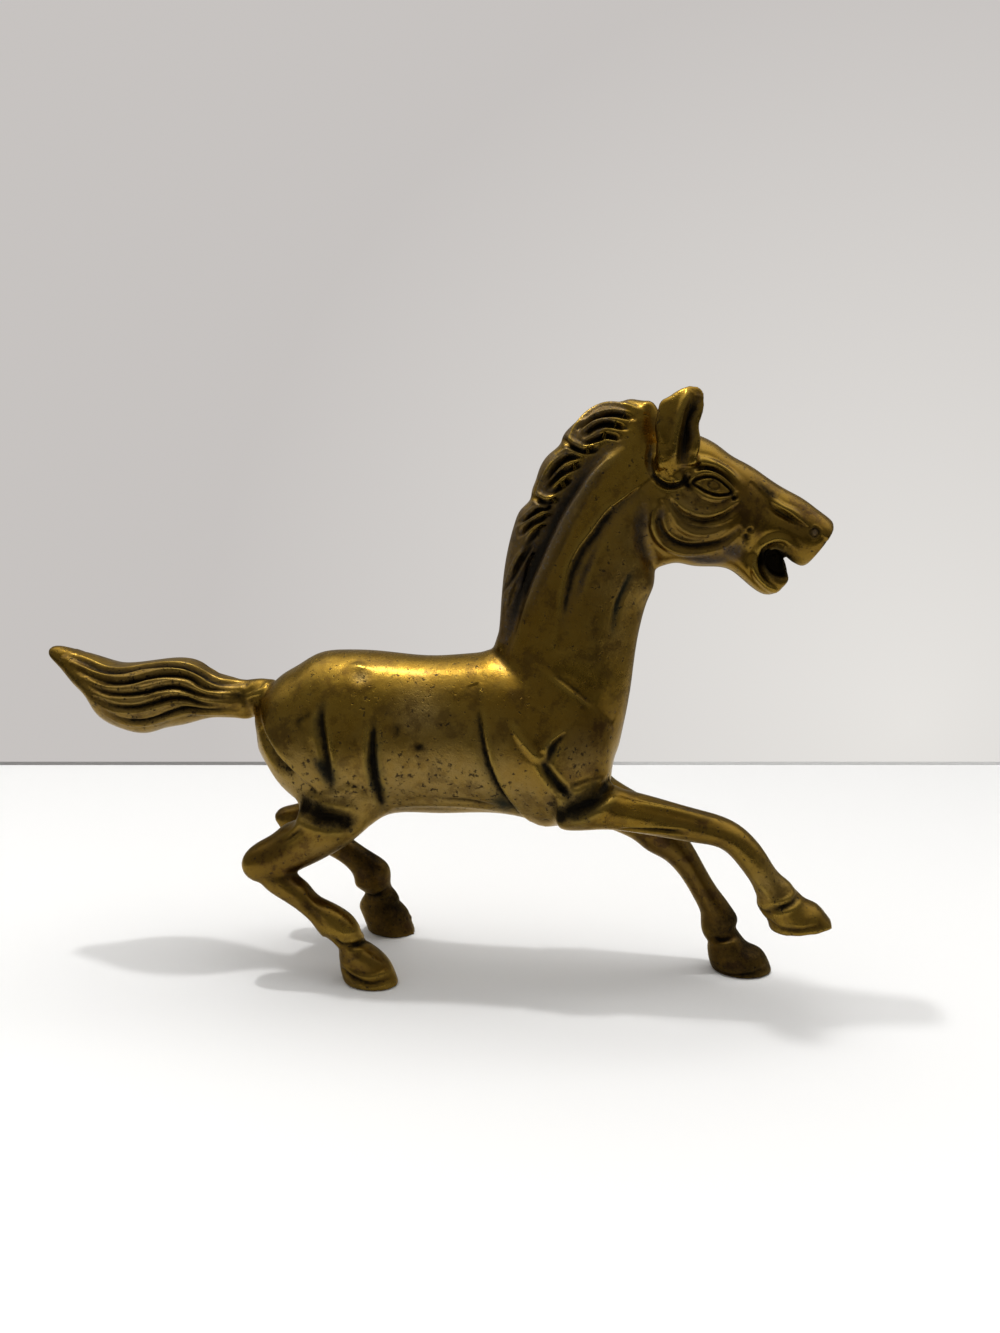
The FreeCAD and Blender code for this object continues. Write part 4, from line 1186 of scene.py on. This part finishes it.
# %% Table and wall
EDGE_PIXEL = (500, 765)
BACKWARDS = Vector((-math.sin(CAMERA_TURN), math.cos(CAMERA_TURN), 0))
TABLE_DEPTH, CARD_DEPTH, CARD_HALF_WIDTH = 2.0, 0.46, 0.36
STAGE_WIDTH, WALL_BEHIND, WALL_HEIGHT = 4.0, 0.45, 1.8
WHITE, DARK = (0.96, 0.96, 0.955, 1), (0.05, 0.05, 0.05, 1)
WALL_PAINT = (0.80, 0.785, 0.77, 1)
WALL_SHADE, WALL_LIT = (0.57, 0.545, 0.53, 1), (0.80, 0.78, 0.75, 1)
EDGE_SHADE, EDGE_LIT = (0.40, 0.39, 0.38, 1), (0.93, 0.93, 0.92, 1)
edge_ray = sight(EDGE_PIXEL)
edge = CAMERA_PLACE + edge_ray * (-CAMERA_PLACE.z / edge_ray.z)


def stage_plane(name, place, turn, size):
    """A plane that isn't part of the object, and its empty finish."""
    deselect()
    bpy.ops.mesh.primitive_plane_add(size=1, location=place, rotation=turn)
    plane = bpy.context.object
    plane.name = name
    plane.scale = (*size, 1)
    bpy.ops.object.transform_apply(location=False, rotation=False, scale=True)
    paint = Finish(bpy.data.materials.new(name + "_paint"))
    plane.data.materials.append(paint.owner)
    plane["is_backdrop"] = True
    return paint


paint = stage_plane("table", edge - BACKWARDS * TABLE_DEPTH / 2, (0, 0, CAMERA_TURN),
                    (STAGE_WIDTH, TABLE_DEPTH))
across, along, _ = paint.add("ShaderNodeSeparateXYZ", {}, {0: paint.place()}).outputs
across, along = Amount(paint, across), Amount(paint, along)
near = ((CARD_HALF_WIDTH - across.math("ABSOLUTE", across)).above(0, 0.06)
        * along.above(TABLE_DEPTH / 2 - CARD_DEPTH, 0.06))
white_where = (near * 0.86 + paint.seen()).clamped()
paint.end(paint.surface(Base_Color=paint.mix(DARK, WHITE, white_where), Roughness=0.8))

UPRIGHT = (math.pi / 2, 0, CAMERA_TURN)
paint = stage_plane("wall", edge + BACKWARDS * WALL_BEHIND + Vector((0, 0, 0.2)), UPRIGHT,
                    (STAGE_WIDTH, WALL_HEIGHT))
brightest = Vector((0.42, -0.28, 0))
glow = Amount(paint, paint.add("ShaderNodeVectorMath", dict(operation="DISTANCE"),
                               {0: paint.place(), 1: brightest}).outputs["Value"])
pale = paint.mix(WALL_SHADE, WALL_LIT, 1 - glow.above(0.36, 0.72))
grey_wall = paint.surface(Base_Color=WALL_PAINT, Roughness=0.8)
pale_wall = paint.add("ShaderNodeEmission", {}, {"Color": pale, "Strength": 1.0}).outputs[0]
shown = paint.add("ShaderNodeMixShader", {}, {0: paint.seen(), 1: grey_wall, 2: pale_wall})
paint.end(shown.outputs[0])

EDGE_THICK = 2 * MM
paint = stage_plane("table_edge", edge + Vector((0, 0, EDGE_THICK / 2)), UPRIGHT,
                    (STAGE_WIDTH, EDGE_THICK))
across = Amount(paint, paint.add("ShaderNodeSeparateXYZ", {}, {0: paint.place()}).outputs[0])
edge_tone = paint.mix(EDGE_SHADE, EDGE_LIT, across.above(0.04, 0.1))
paint.end(paint.surface(Base_Color=edge_tone, Roughness=0.8))
print("table edge %.0f mm behind the camera's foot" % ((edge - CAMERA_PLACE).xy.length / MM))

# %% Lamp and room
LAMP_PLACE, LAMP_SIZE, LAMP_WATTS = Vector((-0.22, 0.12, 1.5)), 0.08, 5.7
CEILING_WAY = (0, 0.6, 0.8)
ROOM_DIM, CEILING_BRIGHT = 0.27, 1.73
ROOM_COLOUR = (1, 0.99, 0.975, 1)
deselect()
bpy.ops.object.light_add(type="AREA", location=LAMP_PLACE)
lamp = bpy.context.object
lamp.data.shape = "DISK"
lamp.data.size = LAMP_SIZE
lamp.data.energy = LAMP_WATTS
room = Finish(bpy.data.worlds.new("room"))
ceiling = Amount(room, room.add("ShaderNodeVectorMath", dict(operation="DOT_PRODUCT"),
                                {0: room.place("Generated"), 1: CEILING_WAY}).outputs["Value"])
strength = ROOM_DIM + CEILING_BRIGHT * ceiling.above(0.575, 0.55)
background = room.add("ShaderNodeBackground", {}, {"Color": ROOM_COLOUR, "Strength": strength})
bpy.context.scene.world = room.end(background.outputs[0], "ShaderNodeOutputWorld")
bpy.context.scene.view_settings.view_transform = "Standard"

# %% Sizes, and the end
low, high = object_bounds()
print("visual box in mm:", [round(v / MM, 1) for v in (*low, *high)])
